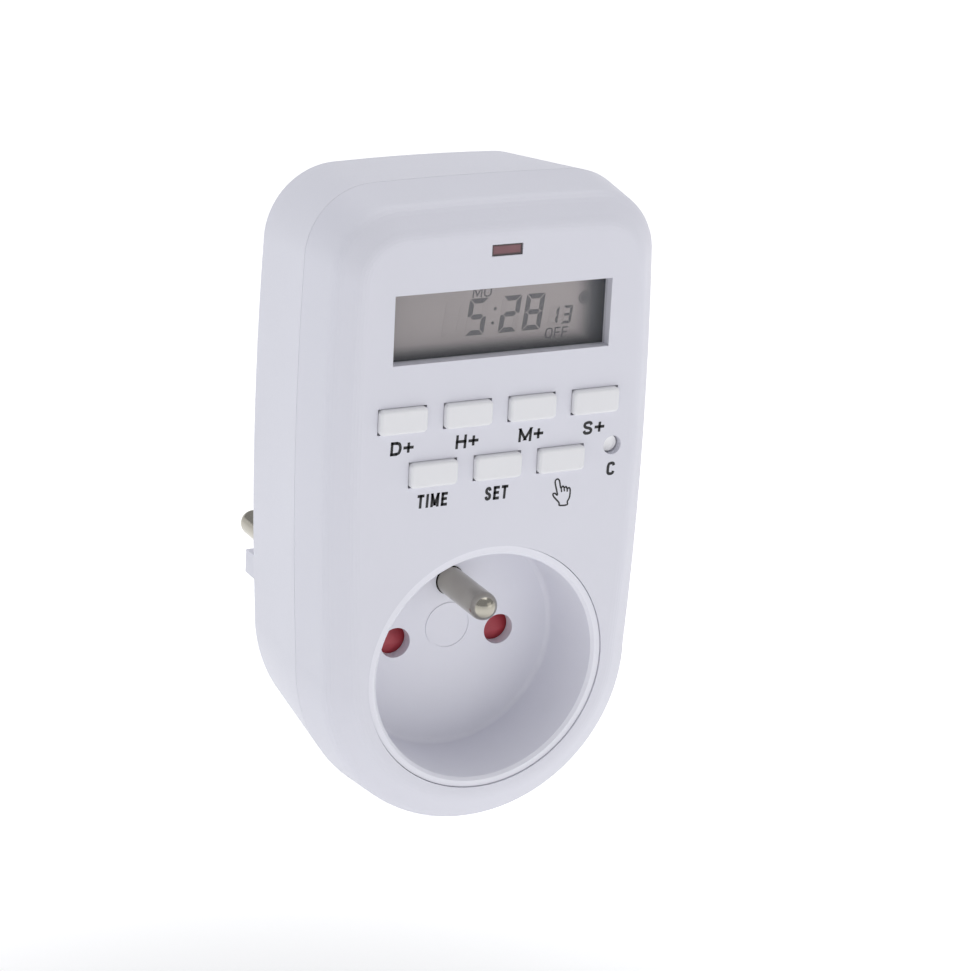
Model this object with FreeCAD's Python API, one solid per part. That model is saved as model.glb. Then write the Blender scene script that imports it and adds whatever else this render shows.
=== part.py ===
# Plug-in weekly timer switch for a round mains socket with an earth pin.
# The origin is the centre of the plug's engagement face, on the axis that the
# plug and the socket share. +Y points into the wall, the front faces -Y, +Z is up.
# Every length is in millimetres. A depth is counted back from the front panel.
import FreeCAD
import Part

import math
import os

V = FreeCAD.Vector
NORTH = V(0, 0, 1)
BACK = V(0, 1, 0)
FRONT = V(0, -1, 0)

# Depths of the main planes, counted back from the front panel
PLUG_FACE = 60.0
CREASE = 3.0
PARTING = 13.0
REAR_WALL = 36.0
WALL = 2.2
SIDE_WALL = 2.0

# Body outlines: half width at the socket centre, bottom radius, half width at
# mid height, half width below the top corners, top height and corner radius
PANEL_LINE = (23.2, 22.9, 25.0, 24.6, 73.8, 7.5)
CREASE_LINE = (27.3, 27.9, 28.5, 27.9, 77.9, 10.5)
PARTING_LINE = (28.2, 28.8, 29.4, 28.8, 79.3, 11.5)
REAR_LINE = (26.2, 26.0, 27.1, 26.3, 77.2, 12.5)
MID_HEIGHT = 34.0
TOP_CROWN = 0.25
PANEL_SOFT = 1.2
CREASE_SOFT = 1.6
REAR_FILLET = 0.8
SHADOW_GAP = 0.12
SHADOW_GAP_DEEP = 0.3
CLEAR = 0.02
ROOT = 0.2

# Socket
RECESS_R = 19.5
RECESS_FOOT_R = 19.2
RECESS_DEPTH = 15.0
RING_R = 21.0
RING_GAP = 0.1
RING_SET_BACK = 0.3
LIP_CHAMFER = 0.5
RECESS_FOOT_FILLET = 0.9
FOOT_SEAM = RECESS_DEPTH - RECESS_FOOT_FILLET
FLANGE_R = 22.9
FLANGE_THICK = 1.4
FLOOR_THICK = 2.2
MARK_Z = 1.9
MARK_R = 4.1
MARK_LINE = 0.3
MARK_PROUD = 0.15
PIN_PITCH = 19.0
PIN_X = PIN_PITCH / 2
SOCKET_HOLE_R = 2.65
EARTH_Z = 10.0
EARTH_PIN_R = 2.4
EARTH_PIN_REACH = 14.8
EARTH_SHANK_R = 2.9
EARTH_FLANGE_R = 3.7
EARTH_TAIL_R = 1.9
EARTH_RIVET_R = 3.1
EARTH_RIVET = (24.0, 25.2)
CONTACT = (22.6, 32.6)
CONTACT_R = 3.4
CONTACT_BORE_R = 2.45

# Shutter behind the socket floor
SHUTTER_GAP = 0.5
SHUTTER_THICK = 2.4
SHUTTER_HALF_W = 13.2
SHUTTER_TOP = 3.4
SHUTTER_FOOT = -3.6
SHUTTER_RAMP_FOOT = -1.3
RETAINER_R = 20.6
RETAINER_THICK = 1.5
SPRING_R = 1.4
SPRING_WIRE = 0.36
SPRING_TURNS = 9
PEG_R = 0.8
SPRING_FOOT = -18.0
RAMP_HALF_W = 3.6
POST_X = 14.4
POST_Z = 11.6
POST_R = 2.4
PILOT_R = 1.0

# Plug
BOSS_R = 18.5
BOSS_FLAT_X = 15.6
RIB_X = 18.2
RIB_HALF_H = 2.1
BOSS_WALL = 2.6
NOSE_CHAMFER = 0.8
CLIP_ROOT = 42.0
WELL_POCKET = 22.4
PIN_R = 2.4
PIN_LENGTH = 19.0
PIN_SHANK_R = 2.9
PIN_FLANGE_R = 3.4
PIN_FLANGE_THICK = 2.9
PIN_TAIL_R = 2.1
PIN_TAIL_END = 41.0
BAR_DEPTH = 42.0
BAR_THICK = 0.8
BAR_HALF_W = 2.5
BAR_RISE = 33.0
EARTH_HOLE_R = 3.0
CLIP_W = 6.0
CLIP_THICK = 0.8
CLIP_SUNK = 0.55
CLIP_BOW_R = 5.2

# Keys, read from the socket centre upwards
KEY_W = 8.3
KEY_H = 4.2
KEY_CORNER = 0.8
KEY_GAP = 0.07
KEY_EDGE = 0.55
KEY_RIM = 0.7
STEM_R = 1.5
RIM_DEPTHS = (WALL + 0.1, WALL + 0.9)
KEY_PROUD = 1.0
KEY_PITCH = 11.35
KEY_ROW_Z = (44.2, 34.9)
UPPER_KEYS = ("key_day", "key_hour", "key_minute", "key_second")
LOWER_KEYS = ("key_time", "key_set", "key_manual")
RESET_X = 20.8
RESET_Z = 36.2
RESET_HOLE_R = 1.6
RESET_R = 1.35
RESET_SUNK = 1.3

# Display
LCD_HALF_W = 19.0
LCD_FOOT = 53.15
LCD_TOP = 64.45
LCD_MID = (LCD_FOOT + LCD_TOP) / 2
LCD_HALF_H = (LCD_TOP - LCD_FOOT) / 2
LENS_SUNK = 1.4
LENS_BACK = 3.4
GLASS = (3.5, 6.3)
STRIP_HALF_W = 18.5
LED_Z = 70.5
LED_W = 5.4
LED_H = 1.9
LED_SUNK = 0.25
LAMP_R = 1.5

# Boards
BOARD_THICK = 1.6
DISPLAY_BOARD = 8.6
POWER_BOARD = 16.0
POWER_POSTS = ((-18.6, 64.2), (18.6, 64.2), (-18.6, 30.6), (18.6, 30.6))
BOARD_FOOT = 26.0
BOARD_HALF_W = 23.5
BOARD_TOP = 72.5
BOARD_SCREWS = ((-13.5, 69.6), (13.5, 69.6), (-21.0, 29.5), (21.0, 29.5))
BOARD_HOLE_R = 1.3
BOARD_PILLAR_R = 2.4
BOARD_SCREW_HEAD_R = 2.0

# Components on the power board: half width, half height, how tall, X and Z
RELAY = (9.5, 7.7, 14.8, 7.3, 54.4)
FILM_CAPACITOR = (8.5, 3.2, 12.0, -10.5, 38.0)
VARISTOR = (4.0, 1.6, 9.0, 12.5, 42.5)
FUSE = (1.8, 1.8, 8.0, 18.0, 38.0)

# Round cans on the power board: radius, how tall, X and Z
SMOOTHING_CAN = (4.0, 11.0, -13.0, 55.5)
STORAGE_CAN = (2.5, 9.0, -7.0, 63.0)
DIODE_R = 1.3
DIODE_LENGTH = 4.5
DIODE_PITCH = 3.2
DIODE_FIRST_X = -17.5
DIODE_Z = 43.6

# On the back of the display board
CELL_X = -13.0
CELL_Z = 56.0
CELL_R = 5.8
CELL_THICK = 4.0
TAB_THICK = 0.25
CHIP_HALF = 5.0
CHIP_THICK = 1.6
CHIP_X = 8.0
CHIP_Z = 52.0
CRYSTAL_R = 1.0
CRYSTAL_LENGTH = 6.0
CRYSTAL_X = 16.5
CRYSTAL_Z = 50.0
HEADER_HALF_W = 6.4
RIBBON_HALF_W = 6.0
RIBBON_THICK = 0.8

# Case screws
CASE_SCREWS = ((-20.5, 70.0), (20.5, 70.0), (-22.3, 20.5), (22.3, 20.5))
SCREW_SHELF = 28.0
PILLAR_R = 2.7
SCREW_R = 1.4
SCREW_HEAD_R = 2.3
SCREW_HEAD_TALL = 1.8
CASE_SCREW_LENGTH = 22.0


def y_at(depth):
    """The Y of a plane that lies this deep behind the front panel."""
    return depth - PLUG_FACE


def box(x0, x1, d0, d1, z0, z1):
    """A block between two X, two depths and two Z."""
    return Part.makeBox(x1 - x0, d1 - d0, z1 - z0, V(x0, y_at(d0), z0))


def block(half_w, half_h, d0, d1, x=0.0, z=0.0):
    """A block along the depth, centred on an X and a Z."""
    return box(x - half_w, x + half_w, d0, d1, z - half_h, z + half_h)


def rod(radius, d0, d1, x=0.0, z=0.0):
    """A round bar along the depth."""
    return Part.makeCylinder(radius, d1 - d0, V(x, y_at(d0), z), BACK)


def tube(outer, inner, d0, d1, x=0.0, z=0.0):
    """A sleeve along the depth."""
    return rod(outer, d0, d1, x, z).cut(rod(inner, d0 - 1, d1 + 1, x, z))


def pad(half_w, half_h, corner, d0, d1, x=0.0, z=0.0):
    """A block along the depth with rounded corners."""
    blank = block(half_w, half_h, d0, d1, x, z)
    edges = [e for e in blank.Edges if abs(e.Vertexes[0].Y - e.Vertexes[1].Y) > 1e-6]
    return blank.makeFillet(corner, edges)


def join(*shapes):
    """One solid from touching or crossing shapes."""
    whole = shapes[0]
    for shape in shapes[1:]:
        whole = whole.fuse(shape)
    return whole.removeSplitter()


def turned(points):
    """A solid of revolution about the socket axis, from (radius, depth) points."""
    corners = [V(r, y_at(d), 0) for r, d in points]
    face = Part.Face(Part.makePolygon(corners + corners[:1]))
    return face.revolve(V(0, 0, 0), BACK, 360)


def outline(line, depth, inset=0.0):
    """The body's shield outline: round foot, barrelled sides, crowned top."""
    foot_w, foot_r, mid_w, top_w, top, corner = line
    foot_w, foot_r, mid_w, top_w, top = [v - inset for v in (foot_w, foot_r, mid_w, top_w, top)]
    corner = corner - inset
    y = y_at(depth)
    bend = corner * (1 - math.sqrt(0.5))
    side_end = V(top_w, y, top - corner)
    top_end = V(top_w - corner, y, top)
    corner_mid = V(top_w - bend, y, top - bend)

    def mirrored(p):
        return V(-p.x, p.y, p.z)

    right = [
        Part.Arc(V(foot_w, y, 0), V(mid_w, y, MID_HEIGHT), side_end),
        Part.Arc(side_end, corner_mid, top_end),
    ]
    left = [
        Part.Arc(mirrored(top_end), mirrored(corner_mid), mirrored(side_end)),
        Part.Arc(mirrored(side_end), V(-mid_w, y, MID_HEIGHT), V(-foot_w, y, 0)),
    ]
    crown = Part.Arc(top_end, V(0, y, top + TOP_CROWN), mirrored(top_end))
    foot = Part.Arc(V(-foot_w, y, 0), V(0, y, -foot_r), V(foot_w, y, 0))
    arcs = right + [crown] + left + [foot]
    return Part.Wire([arc.toShape() for arc in arcs])


def between(line_a, line_b, depth):
    """The outline at a depth on the straight wall between crease, parting and rear."""
    spans = {
        (CREASE_LINE, PARTING_LINE): (CREASE, PARTING),
        (PARTING_LINE, REAR_LINE): (PARTING, REAR_WALL),
    }
    start, end = spans[(line_a, line_b)]
    share = (depth - start) / (end - start)
    return tuple(a + share * (b - a) for a, b in zip(line_a, line_b))


def hull(sections):
    """A ruled solid through outlines given as (line, depth, inset)."""
    return Part.makeLoft([outline(*section) for section in sections], True, True)


def eased(before, corner, after, before_reach, after_reach):
    """Sections that round a corner of the profile on a quadratic curve."""
    def mixed(a, b, share):
        line = tuple(p + share * (q - p) for p, q in zip(a[0], b[0]))
        return line, a[1] + share * (b[1] - a[1])

    start = mixed(corner, before, before_reach)
    end = mixed(corner, after, after_reach)
    sections = []
    for step in range(5):
        t = step / 4
        line, depth = mixed(mixed(start, corner, t), mixed(corner, end, t), t)
        sections.append((line, depth, 0))
    return sections


def edges_at(shape, depth):
    """The outer edges that lie in the plane at a depth."""
    y = y_at(depth)
    return [e for e in shape.Edges if all(abs(v.Y - y) < 1e-4 for v in e.Vertexes)]


def key_places():
    """Each key's name with its centre."""
    first = -1.5 * KEY_PITCH
    places = [(name, first + i * KEY_PITCH, KEY_ROW_Z[0]) for i, name in enumerate(UPPER_KEYS)]
    first = -KEY_PITCH
    places += [(name, first + i * KEY_PITCH, KEY_ROW_Z[1]) for i, name in enumerate(LOWER_KEYS)]
    return places


# Housing shells

def front_cover():
    """Front shell: panel, sloped border, windows, key holes and screw pillars."""
    panel, crease, parting = (PANEL_LINE, 0), (CREASE_LINE, CREASE), (PARTING_LINE, PARTING)
    flat = (tuple(v - PANEL_SOFT for v in PANEL_LINE), 0)
    brow = eased(flat, panel, crease, 1.0, PANEL_SOFT / 5)
    crest = eased(panel, crease, parting, CREASE_SOFT / 5, CREASE_SOFT / 10)
    shell = hull(brow + crest + [(PARTING_LINE, PARTING, 0)])
    beyond = PARTING + 1
    shell = shell.cut(hull([
        (CREASE_LINE, WALL, 1.6 * SIDE_WALL),
        (CREASE_LINE, CREASE + 1.5, SIDE_WALL),
        (between(CREASE_LINE, PARTING_LINE, beyond), beyond, SIDE_WALL),
    ]))
    skin = hull([(line, depth, 0.6) for line, depth in (panel, crease, parting)])
    pillars = [rod(PILLAR_R, WALL - ROOT, PARTING, x, z) for x, z in CASE_SCREWS]
    pillars += [rod(BOARD_PILLAR_R, WALL - ROOT, DISPLAY_BOARD, x, z) for x, z in BOARD_SCREWS]
    for pillar in pillars:
        shell = shell.fuse(pillar.common(skin))
    through = (-1, WALL + 1)
    cuts = [rod(RING_R + RING_GAP, -1, PARTING)]
    cuts += [rod(FLANGE_R + 0.2, WALL, beyond)]
    cuts += [block(LCD_HALF_W, LCD_HALF_H, *through, 0, LCD_MID)]
    cuts += [block(LED_W / 2, LED_H / 2, *through, 0, LED_Z)]
    cuts += [rod(RESET_HOLE_R, *through, RESET_X, RESET_Z)]
    for _, x, z in key_places():
        cuts.append(block(KEY_W / 2 + KEY_GAP, KEY_H / 2 + KEY_GAP, *through, x, z))
    cuts += [rod(SCREW_R, WALL + 2, beyond, x, z) for x, z in CASE_SCREWS]
    cuts += [rod(PILOT_R, WALL + 1, DISPLAY_BOARD + 1, x, z) for x, z in BOARD_SCREWS]
    for cut in cuts:
        shell = shell.cut(cut)
    return shell.removeSplitter()


def boss_blank(d0, d1, radius, flat_x):
    """The plug's round nose with a flat on each side."""
    return rod(radius, d0, d1).common(box(-flat_x, flat_x, d0, d1, -radius, radius))


def rear_blank():
    """The rear shell's outer shape, with a shadow gap where it meets the front shell."""
    gap_end = PARTING + SHADOW_GAP
    gap_line = between(PARTING_LINE, REAR_LINE, gap_end)
    blank = hull([(gap_line, gap_end, 0), (REAR_LINE, REAR_WALL, 0)])
    blank = blank.makeFillet(REAR_FILLET, edges_at(blank, REAR_WALL))
    start = (PARTING_LINE, PARTING, SHADOW_GAP_DEEP)
    return blank.fuse(hull([start, (gap_line, gap_end + ROOT, SHADOW_GAP_DEEP)]))


def plug_nose():
    """The plug's nose with a guide rib on each side and a groove for each earth clip."""
    nose = boss_blank(REAR_WALL - 0.5, PLUG_FACE, BOSS_R, BOSS_FLAT_X)
    nose = nose.makeChamfer(NOSE_CHAMFER, edges_at(nose, PLUG_FACE))
    for side in (-1, 1):
        x0, x1 = sorted((side * (BOSS_FLAT_X - 1), side * RIB_X))
        nose = nose.fuse(box(x0, x1, REAR_WALL - 0.5, PLUG_FACE - NOSE_CHAMFER, -RIB_HALF_H, RIB_HALF_H))
        z0, z1 = sorted((side * (BOSS_R - CLIP_THICK - CLIP_SUNK - 0.05), side * (BOSS_R + 1)))
        nose = nose.cut(box(-CLIP_W / 2 - 0.2, CLIP_W / 2 + 0.2, CLIP_ROOT, PLUG_FACE + 1, z0, z1))
    return nose


def rear_cover():
    """Rear shell with the plug nose, its pin holes, screw wells and board posts."""
    inside = REAR_WALL - WALL
    shell = rear_blank()
    hollow_line = between(PARTING_LINE, REAR_LINE, inside)
    shell = shell.cut(hull([(PARTING_LINE, PARTING, SIDE_WALL), (hollow_line, inside, SIDE_WALL)]))
    shell = shell.fuse(plug_nose())
    skin = hull([(PARTING_LINE, PARTING, 0.6), (REAR_LINE, REAR_WALL, 0.6)])
    for x, z in CASE_SCREWS:
        shell = shell.fuse(rod(PILLAR_R + 0.7, PARTING, REAR_WALL - 1, x, z).common(skin))
    nose_inside = PLUG_FACE - BOSS_WALL
    shell = shell.cut(boss_blank(inside - 1, nose_inside, BOSS_R - BOSS_WALL, BOSS_FLAT_X - BOSS_WALL))
    shell = shell.cut(rod(RING_R + 0.3, PARTING - 1, WELL_POCKET))
    for x, z in CASE_SCREWS:
        shell = shell.cut(rod(SCREW_R + 0.2, PARTING - 1, REAR_WALL + 1, x, z))
        shell = shell.cut(rod(SCREW_HEAD_R + 0.3, SCREW_SHELF, REAR_WALL + 1, x, z))
    for side in (-1, 1):
        shell = shell.cut(rod(PIN_SHANK_R + 0.05, nose_inside - 1, PLUG_FACE + 1, side * PIN_X, 0))
    shell = shell.cut(rod(EARTH_HOLE_R, nose_inside - 1, PLUG_FACE + 1, 0, EARTH_Z))
    for x, z in POWER_POSTS:
        shell = shell.fuse(tube(2.2, PILOT_R, POWER_BOARD + BOARD_THICK + CLEAR, inside + 0.1, x, z))
    return shell.removeSplitter()


# Socket

def recess_blank():
    """Round socket cup with a lip ring, a flange and a rounded foot; it is parted into wall and floor."""
    floor = RECESS_DEPTH
    back = floor + FLOOR_THICK
    flange = WALL + 0.1
    cup = turned([
        (0, floor), (RECESS_FOOT_R, floor), (RECESS_R, RING_SET_BACK + LIP_CHAMFER),
        (RECESS_R + LIP_CHAMFER, RING_SET_BACK), (RING_R, RING_SET_BACK), (RING_R, flange),
        (FLANGE_R, flange), (FLANGE_R, flange + FLANGE_THICK), (RING_R, flange + FLANGE_THICK),
        (RING_R, back), (0, back),
    ])
    foot = [e for e in edges_at(cup, floor) if abs(e.Length - 2 * math.pi * RECESS_FOOT_R) < 0.1]
    return cup.makeFillet(RECESS_FOOT_FILLET, foot)


def socket_well():
    """Wall of the recess, from the lip ring down to where its rounded foot begins."""
    return recess_blank().common(rod(FLANGE_R + 1, -1, FOOT_SEAM)).removeSplitter()


def socket_floor():
    """Floor of the recess, welded to the wall's end: three holes, the mark, and what carries the shutter."""
    floor = RECESS_DEPTH
    back = floor + FLOOR_THICK
    cup = recess_blank().common(rod(FLANGE_R + 1, FOOT_SEAM, back + 1))
    cup = cup.fuse(tube(MARK_R, MARK_R - MARK_LINE, floor - MARK_PROUD, floor + 0.5, 0, MARK_Z))
    for side in (-1, 1):
        cup = cup.fuse(tube(POST_R, PILOT_R, back - 0.5, retainer_depth(), side * POST_X, POST_Z))
        guide_x = side * (SHUTTER_HALF_W + 1.4)
        cup = cup.fuse(box(guide_x - 0.9, guide_x + 0.9, back - 0.5, retainer_depth(), -12.0, 5.5))
        cup = cup.cut(rod(SOCKET_HOLE_R, floor - 1, back + 1, side * PIN_X, 0))
    cup = cup.cut(rod(EARTH_SHANK_R + 0.05, floor - 1, back + 1, 0, EARTH_Z))
    return cup.removeSplitter()


def shutter_depth():
    """Depth of the shutter's front face."""
    return RECESS_DEPTH + FLOOR_THICK + SHUTTER_GAP


def retainer_depth():
    """Depth of the front of the plate that keeps the shutter in."""
    return shutter_depth() + SHUTTER_THICK + 0.3


def socket_shutter():
    """Shutter plate with a ramp over each pin hole and a peg for its spring."""
    d0 = shutter_depth()
    d1 = d0 + SHUTTER_THICK
    plate = box(-SHUTTER_HALF_W, SHUTTER_HALF_W, d0, d1, SHUTTER_FOOT, SHUTTER_TOP)
    wedge = Part.makePolygon([
        V(0, y_at(d0) - 0.01, SHUTTER_RAMP_FOOT), V(0, y_at(d0) - 0.01, SHUTTER_TOP + 0.01),
        V(0, y_at(d0) + SHUTTER_THICK * 0.8, SHUTTER_TOP + 0.01), V(0, y_at(d0) - 0.01, SHUTTER_RAMP_FOOT),
    ])
    ramp = Part.Face(wedge).extrude(V(2 * RAMP_HALF_W, 0, 0))
    for side in (-1, 1):
        cut = ramp.copy()
        cut.translate(V(side * PIN_X - RAMP_HALF_W, 0, 0))
        plate = plate.cut(cut)
    window = pad(3.0, 1.4, 0.6, d0 - 1, d1 + 1, 0, 0.3)
    peg = Part.makeCylinder(PEG_R, 2.0, V(0, y_at((d0 + d1) / 2), SHUTTER_FOOT - 2.0), NORTH)
    return plate.cut(window).fuse(peg).removeSplitter()


def shutter_spring():
    """Coil spring that lifts the shutter back over the pin holes."""
    top = SHUTTER_FOOT - 0.05
    length = top - SPRING_FOOT
    radius = SPRING_R - SPRING_WIRE / 2
    wire = SPRING_WIRE / 2
    helix = Part.makeHelix((length - 2 * wire) / SPRING_TURNS, length - 2 * wire, radius)
    ring = Part.Wire(Part.makeCircle(wire, V(radius, 0, 0), V(0, 1, 0)))
    coil = Part.Wire(helix.Edges).makePipeShell([ring], True, True)
    coil.translate(V(0, y_at(shutter_depth() + SHUTTER_THICK / 2), SPRING_FOOT + wire))
    return coil


def shutter_retainer():
    """Disc behind the shutter, with the pin holes and a foot for the spring."""
    d0 = retainer_depth()
    disc = rod(RETAINER_R, d0, d0 + RETAINER_THICK)
    mid = shutter_depth() + SHUTTER_THICK / 2
    foot = box(-3.0, 3.0, mid - 1.2, d0 + 0.5, SPRING_FOOT - 1.5, SPRING_FOOT - 0.05)
    disc = disc.fuse(foot)
    for side in (-1, 1):
        disc = disc.cut(rod(3.0, d0 - 1, d0 + 3, side * PIN_X, 0))
        disc = disc.cut(rod(PILOT_R + 0.1, d0 - 1, d0 + 3, side * POST_X, POST_Z))
    return disc.cut(rod(EARTH_TAIL_R + 0.1, d0 - 1, d0 + 3, 0, EARTH_Z)).removeSplitter()


def earth_pin():
    """Earth pin: round nose, wider shank in the floor, flange behind it, riveted tail."""
    floor = RECESS_DEPTH
    back = floor + FLOOR_THICK
    tip = floor - EARTH_PIN_REACH
    nose = Part.makeSphere(EARTH_PIN_R, V(0, y_at(tip + EARTH_PIN_R), EARTH_Z))
    pin = nose.fuse(rod(EARTH_PIN_R, tip + EARTH_PIN_R, floor + 0.5, 0, EARTH_Z))
    pin = pin.fuse(rod(EARTH_SHANK_R, floor + CLEAR, back, 0, EARTH_Z))
    pin = pin.fuse(rod(EARTH_FLANGE_R, back, retainer_depth() - CLEAR, 0, EARTH_Z))
    pin = pin.fuse(rod(EARTH_TAIL_R, retainer_depth() - 0.5, EARTH_RIVET[0] + 0.5, 0, EARTH_Z))
    return pin.fuse(rod(EARTH_RIVET_R, *EARTH_RIVET, 0, EARTH_Z)).removeSplitter()


def socket_contact(side, strap_top):
    """Split sleeve that grips a pin, with a strap that rises beside it."""
    x = side * PIN_X
    sleeve = tube(CONTACT_R, CONTACT_BORE_R, *CONTACT, x, 0)
    sleeve = sleeve.cut(box(x - 0.4, x + 0.4, CONTACT[0] - 1, CONTACT[1] - 2.6, -CONTACT_R - 1, 0))
    strap = box(x - BAR_HALF_W, x + BAR_HALF_W, CONTACT[1] - 1.2, CONTACT[1] - 0.4, CONTACT_R - 0.5, strap_top)
    return sleeve.fuse(strap).removeSplitter()


# Plug

def plug_pin(side):
    """Solid pin with a domed end, a wider shank in the plug face, a flange and a tail."""
    x = side * PIN_X
    end = PLUG_FACE + PIN_LENGTH
    seat = PLUG_FACE - BOSS_WALL - 0.05
    nose = Part.makeSphere(PIN_R, V(x, y_at(end - PIN_R), 0))
    pin = nose.fuse(rod(PIN_R, PLUG_FACE - 0.5, end - PIN_R, x, 0))
    pin = pin.fuse(rod(PIN_SHANK_R, seat - 0.5, PLUG_FACE - CLEAR, x, 0))
    pin = pin.fuse(rod(PIN_FLANGE_R, seat - PIN_FLANGE_THICK, seat, x, 0))
    pin = pin.fuse(rod(PIN_TAIL_R, PIN_TAIL_END, seat - PIN_FLANGE_THICK + 0.5, x, 0))
    return pin.removeSplitter()


def pin_carrier():
    """Moulded block in the plug nose that holds both pins and the earth sleeve."""
    front = BAR_DEPTH + 2
    back = PLUG_FACE - BOSS_WALL - PIN_FLANGE_THICK - 0.1
    blank = boss_blank(front, back, BOSS_R - BOSS_WALL - 0.25, BOSS_FLAT_X - BOSS_WALL - 0.25)
    blank = blank.common(box(-13, 13, front, back, -7.0, 13.9))
    for side in (-1, 1):
        blank = blank.cut(rod(PIN_TAIL_R + 0.05, front - 1, back + 1, side * PIN_X, 0))
        blank = blank.cut(box(side * PIN_X - 2.9, side * PIN_X + 2.9, front - 1, front + 2.5, -3, 14))
    return blank.cut(rod(CONTACT_R + 0.1, front - 1, back + 1, 0, EARTH_Z)).removeSplitter()


def plug_earth_contact():
    """Earth sleeve for the wall socket's pin, joined to the two side clips."""
    sleeve = tube(CONTACT_R, CONTACT_BORE_R, BAR_DEPTH + 4, PLUG_FACE - BOSS_WALL - 0.1, 0, EARTH_Z)
    sleeve = sleeve.fuse(rod(CONTACT_R, BAR_DEPTH + 0.6, BAR_DEPTH + 4.2, 0, EARTH_Z))
    bridge = box(-CLIP_W / 2, CLIP_W / 2, BAR_DEPTH, BAR_DEPTH + BAR_THICK, -15.6, 15.6)
    return sleeve.fuse(bridge).removeSplitter()


def plug_earth_clips():
    """Two sprung strips that lie in the grooves above and below the plug nose."""
    clips = []
    half_w = CLIP_W / 2
    crown = BOSS_R - 0.15
    for side in (-1, 1):
        z0, z1 = sorted((side * (BOSS_R - CLIP_THICK - CLIP_SUNK), side * (BOSS_R - CLIP_SUNK)))
        blade = box(-half_w, half_w, CLIP_ROOT + 0.1, PLUG_FACE - 1.5, z0, z1)
        axis = V(-half_w, y_at(50.0), side * (crown - CLIP_BOW_R))
        bow = Part.makeCylinder(CLIP_BOW_R, CLIP_W, axis, V(1, 0, 0))
        bow = bow.common(box(-half_w, half_w, 45.0, 55.0, min(z0, side * 19), max(z1, side * 19)))
        clips.append(blade.fuse(bow).removeSplitter())
    return Part.makeCompound(clips)


def earth_link():
    """Strap from the front earth pin's tail to the plug's earth sleeve."""
    half_w = CLIP_W / 2
    seat = EARTH_RIVET[0] - 1.0
    end = BAR_DEPTH - 0.1
    top = 15.5
    front = box(-half_w, half_w, seat, seat + BAR_THICK, 7.0, top)
    front = front.cut(rod(EARTH_TAIL_R + 0.1, seat - 1, seat + 2, 0, EARTH_Z))
    run = box(-half_w, half_w, seat, end, top - BAR_THICK, top)
    tail = box(-half_w, half_w, end - BAR_THICK, end, 6.6, top)
    return front.fuse(run).fuse(tail).removeSplitter()


def supply_bar(side):
    """Strip from a plug pin's tail, over the contacts and up to the power board."""
    x0 = side * PIN_X - BAR_HALF_W
    x1 = side * PIN_X + BAR_HALF_W
    back = BAR_DEPTH + BAR_THICK
    step = 9.2
    top = 31.0
    foot = box(x0, x1, BAR_DEPTH, back, -2.5, step + BAR_THICK)
    foot = foot.cut(rod(PIN_TAIL_R + 0.05, BAR_DEPTH - 1, back + 1, side * PIN_X, 0))
    run = box(x0, x1, BAR_RISE, back, step, step + BAR_THICK)
    rise = box(x0, x1, BAR_RISE, BAR_RISE + BAR_THICK, step, top)
    tab = box(x0, x1, POWER_BOARD + BOARD_THICK, BAR_RISE + BAR_THICK, top - BAR_THICK, top)
    return join(foot, run, rise, tab)


# Display and keys

def lcd_lens():
    """Clear lens with a raised land that stands in the window."""
    plate = block(LCD_HALF_W + 2, LCD_HALF_H + 1.8, WALL + CLEAR, LENS_BACK, 0, LCD_MID)
    land = block(LCD_HALF_W - 0.05, LCD_HALF_H - 0.05, LENS_SUNK, WALL + 0.1, 0, LCD_MID)
    return plate.fuse(land).removeSplitter()


def lcd_holder():
    """Frame that holds the glass against the lens."""
    front = LENS_BACK + 0.05
    back = DISPLAY_BOARD - 0.05
    frame = box(-22.0, 22.0, front, back, LCD_FOOT - 3.4, LCD_TOP + 2.4)
    seat = box(-20.6, 20.6, front - 1, GLASS[1] + 0.05, LCD_FOOT - 2.4, LCD_TOP + 1.6)
    opening = box(-19.0, 19.0, front, back + 1, LCD_FOOT - 2.2, LCD_TOP + 1.4)
    return frame.cut(seat).cut(opening)


def lcd_glass():
    """Liquid crystal cell, two panes thick."""
    return box(-20.5, 20.5, *GLASS, LCD_FOOT - 2.3, LCD_TOP + 1.5)


def contact_strips():
    """Rubber strips that join the glass to the board, one along each long edge."""
    span = (GLASS[1] + 0.05, DISPLAY_BOARD - CLEAR)
    return Part.makeCompound([
        block(STRIP_HALF_W, 1.0, *span, 0, z) for z in (LCD_FOOT - 1.1, LCD_TOP + 0.3)])


def led_lens():
    """Red window bar with a rim behind the cover."""
    land = block(LED_W / 2 - 0.05, LED_H / 2 - 0.05, LED_SUNK, WALL + 0.1, 0, LED_Z)
    rim = block(LED_W / 2 + 1, LED_H / 2 + 0.8, WALL + CLEAR, WALL + 1.0, 0, LED_Z)
    return land.fuse(rim).removeSplitter()


def led_lamp():
    """Small round lamp that stands on the board behind its window."""
    z = LED_Z - 0.4
    front = WALL + 1.2 + LAMP_R
    dome = Part.makeSphere(LAMP_R, V(0, y_at(front), z))
    return dome.fuse(rod(LAMP_R, front, DISPLAY_BOARD - CLEAR, 0, z)).removeSplitter()


def key_cap(x, z):
    """Key cap with rounded front edges and a rim that keeps it behind the panel."""
    cap = pad(KEY_W / 2, KEY_H / 2, KEY_CORNER, -KEY_PROUD, WALL + 1, x, z)
    cap = cap.makeFillet(KEY_EDGE, edges_at(cap, -KEY_PROUD))
    rim = pad(KEY_W / 2 + KEY_RIM, KEY_H / 2 + KEY_RIM - 0.1, 0.6, *RIM_DEPTHS, x, z)
    stem = rod(STEM_R, WALL + 0.5, mat_depth() - 0.3, x, z)
    return join(cap, rim, stem)


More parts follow.
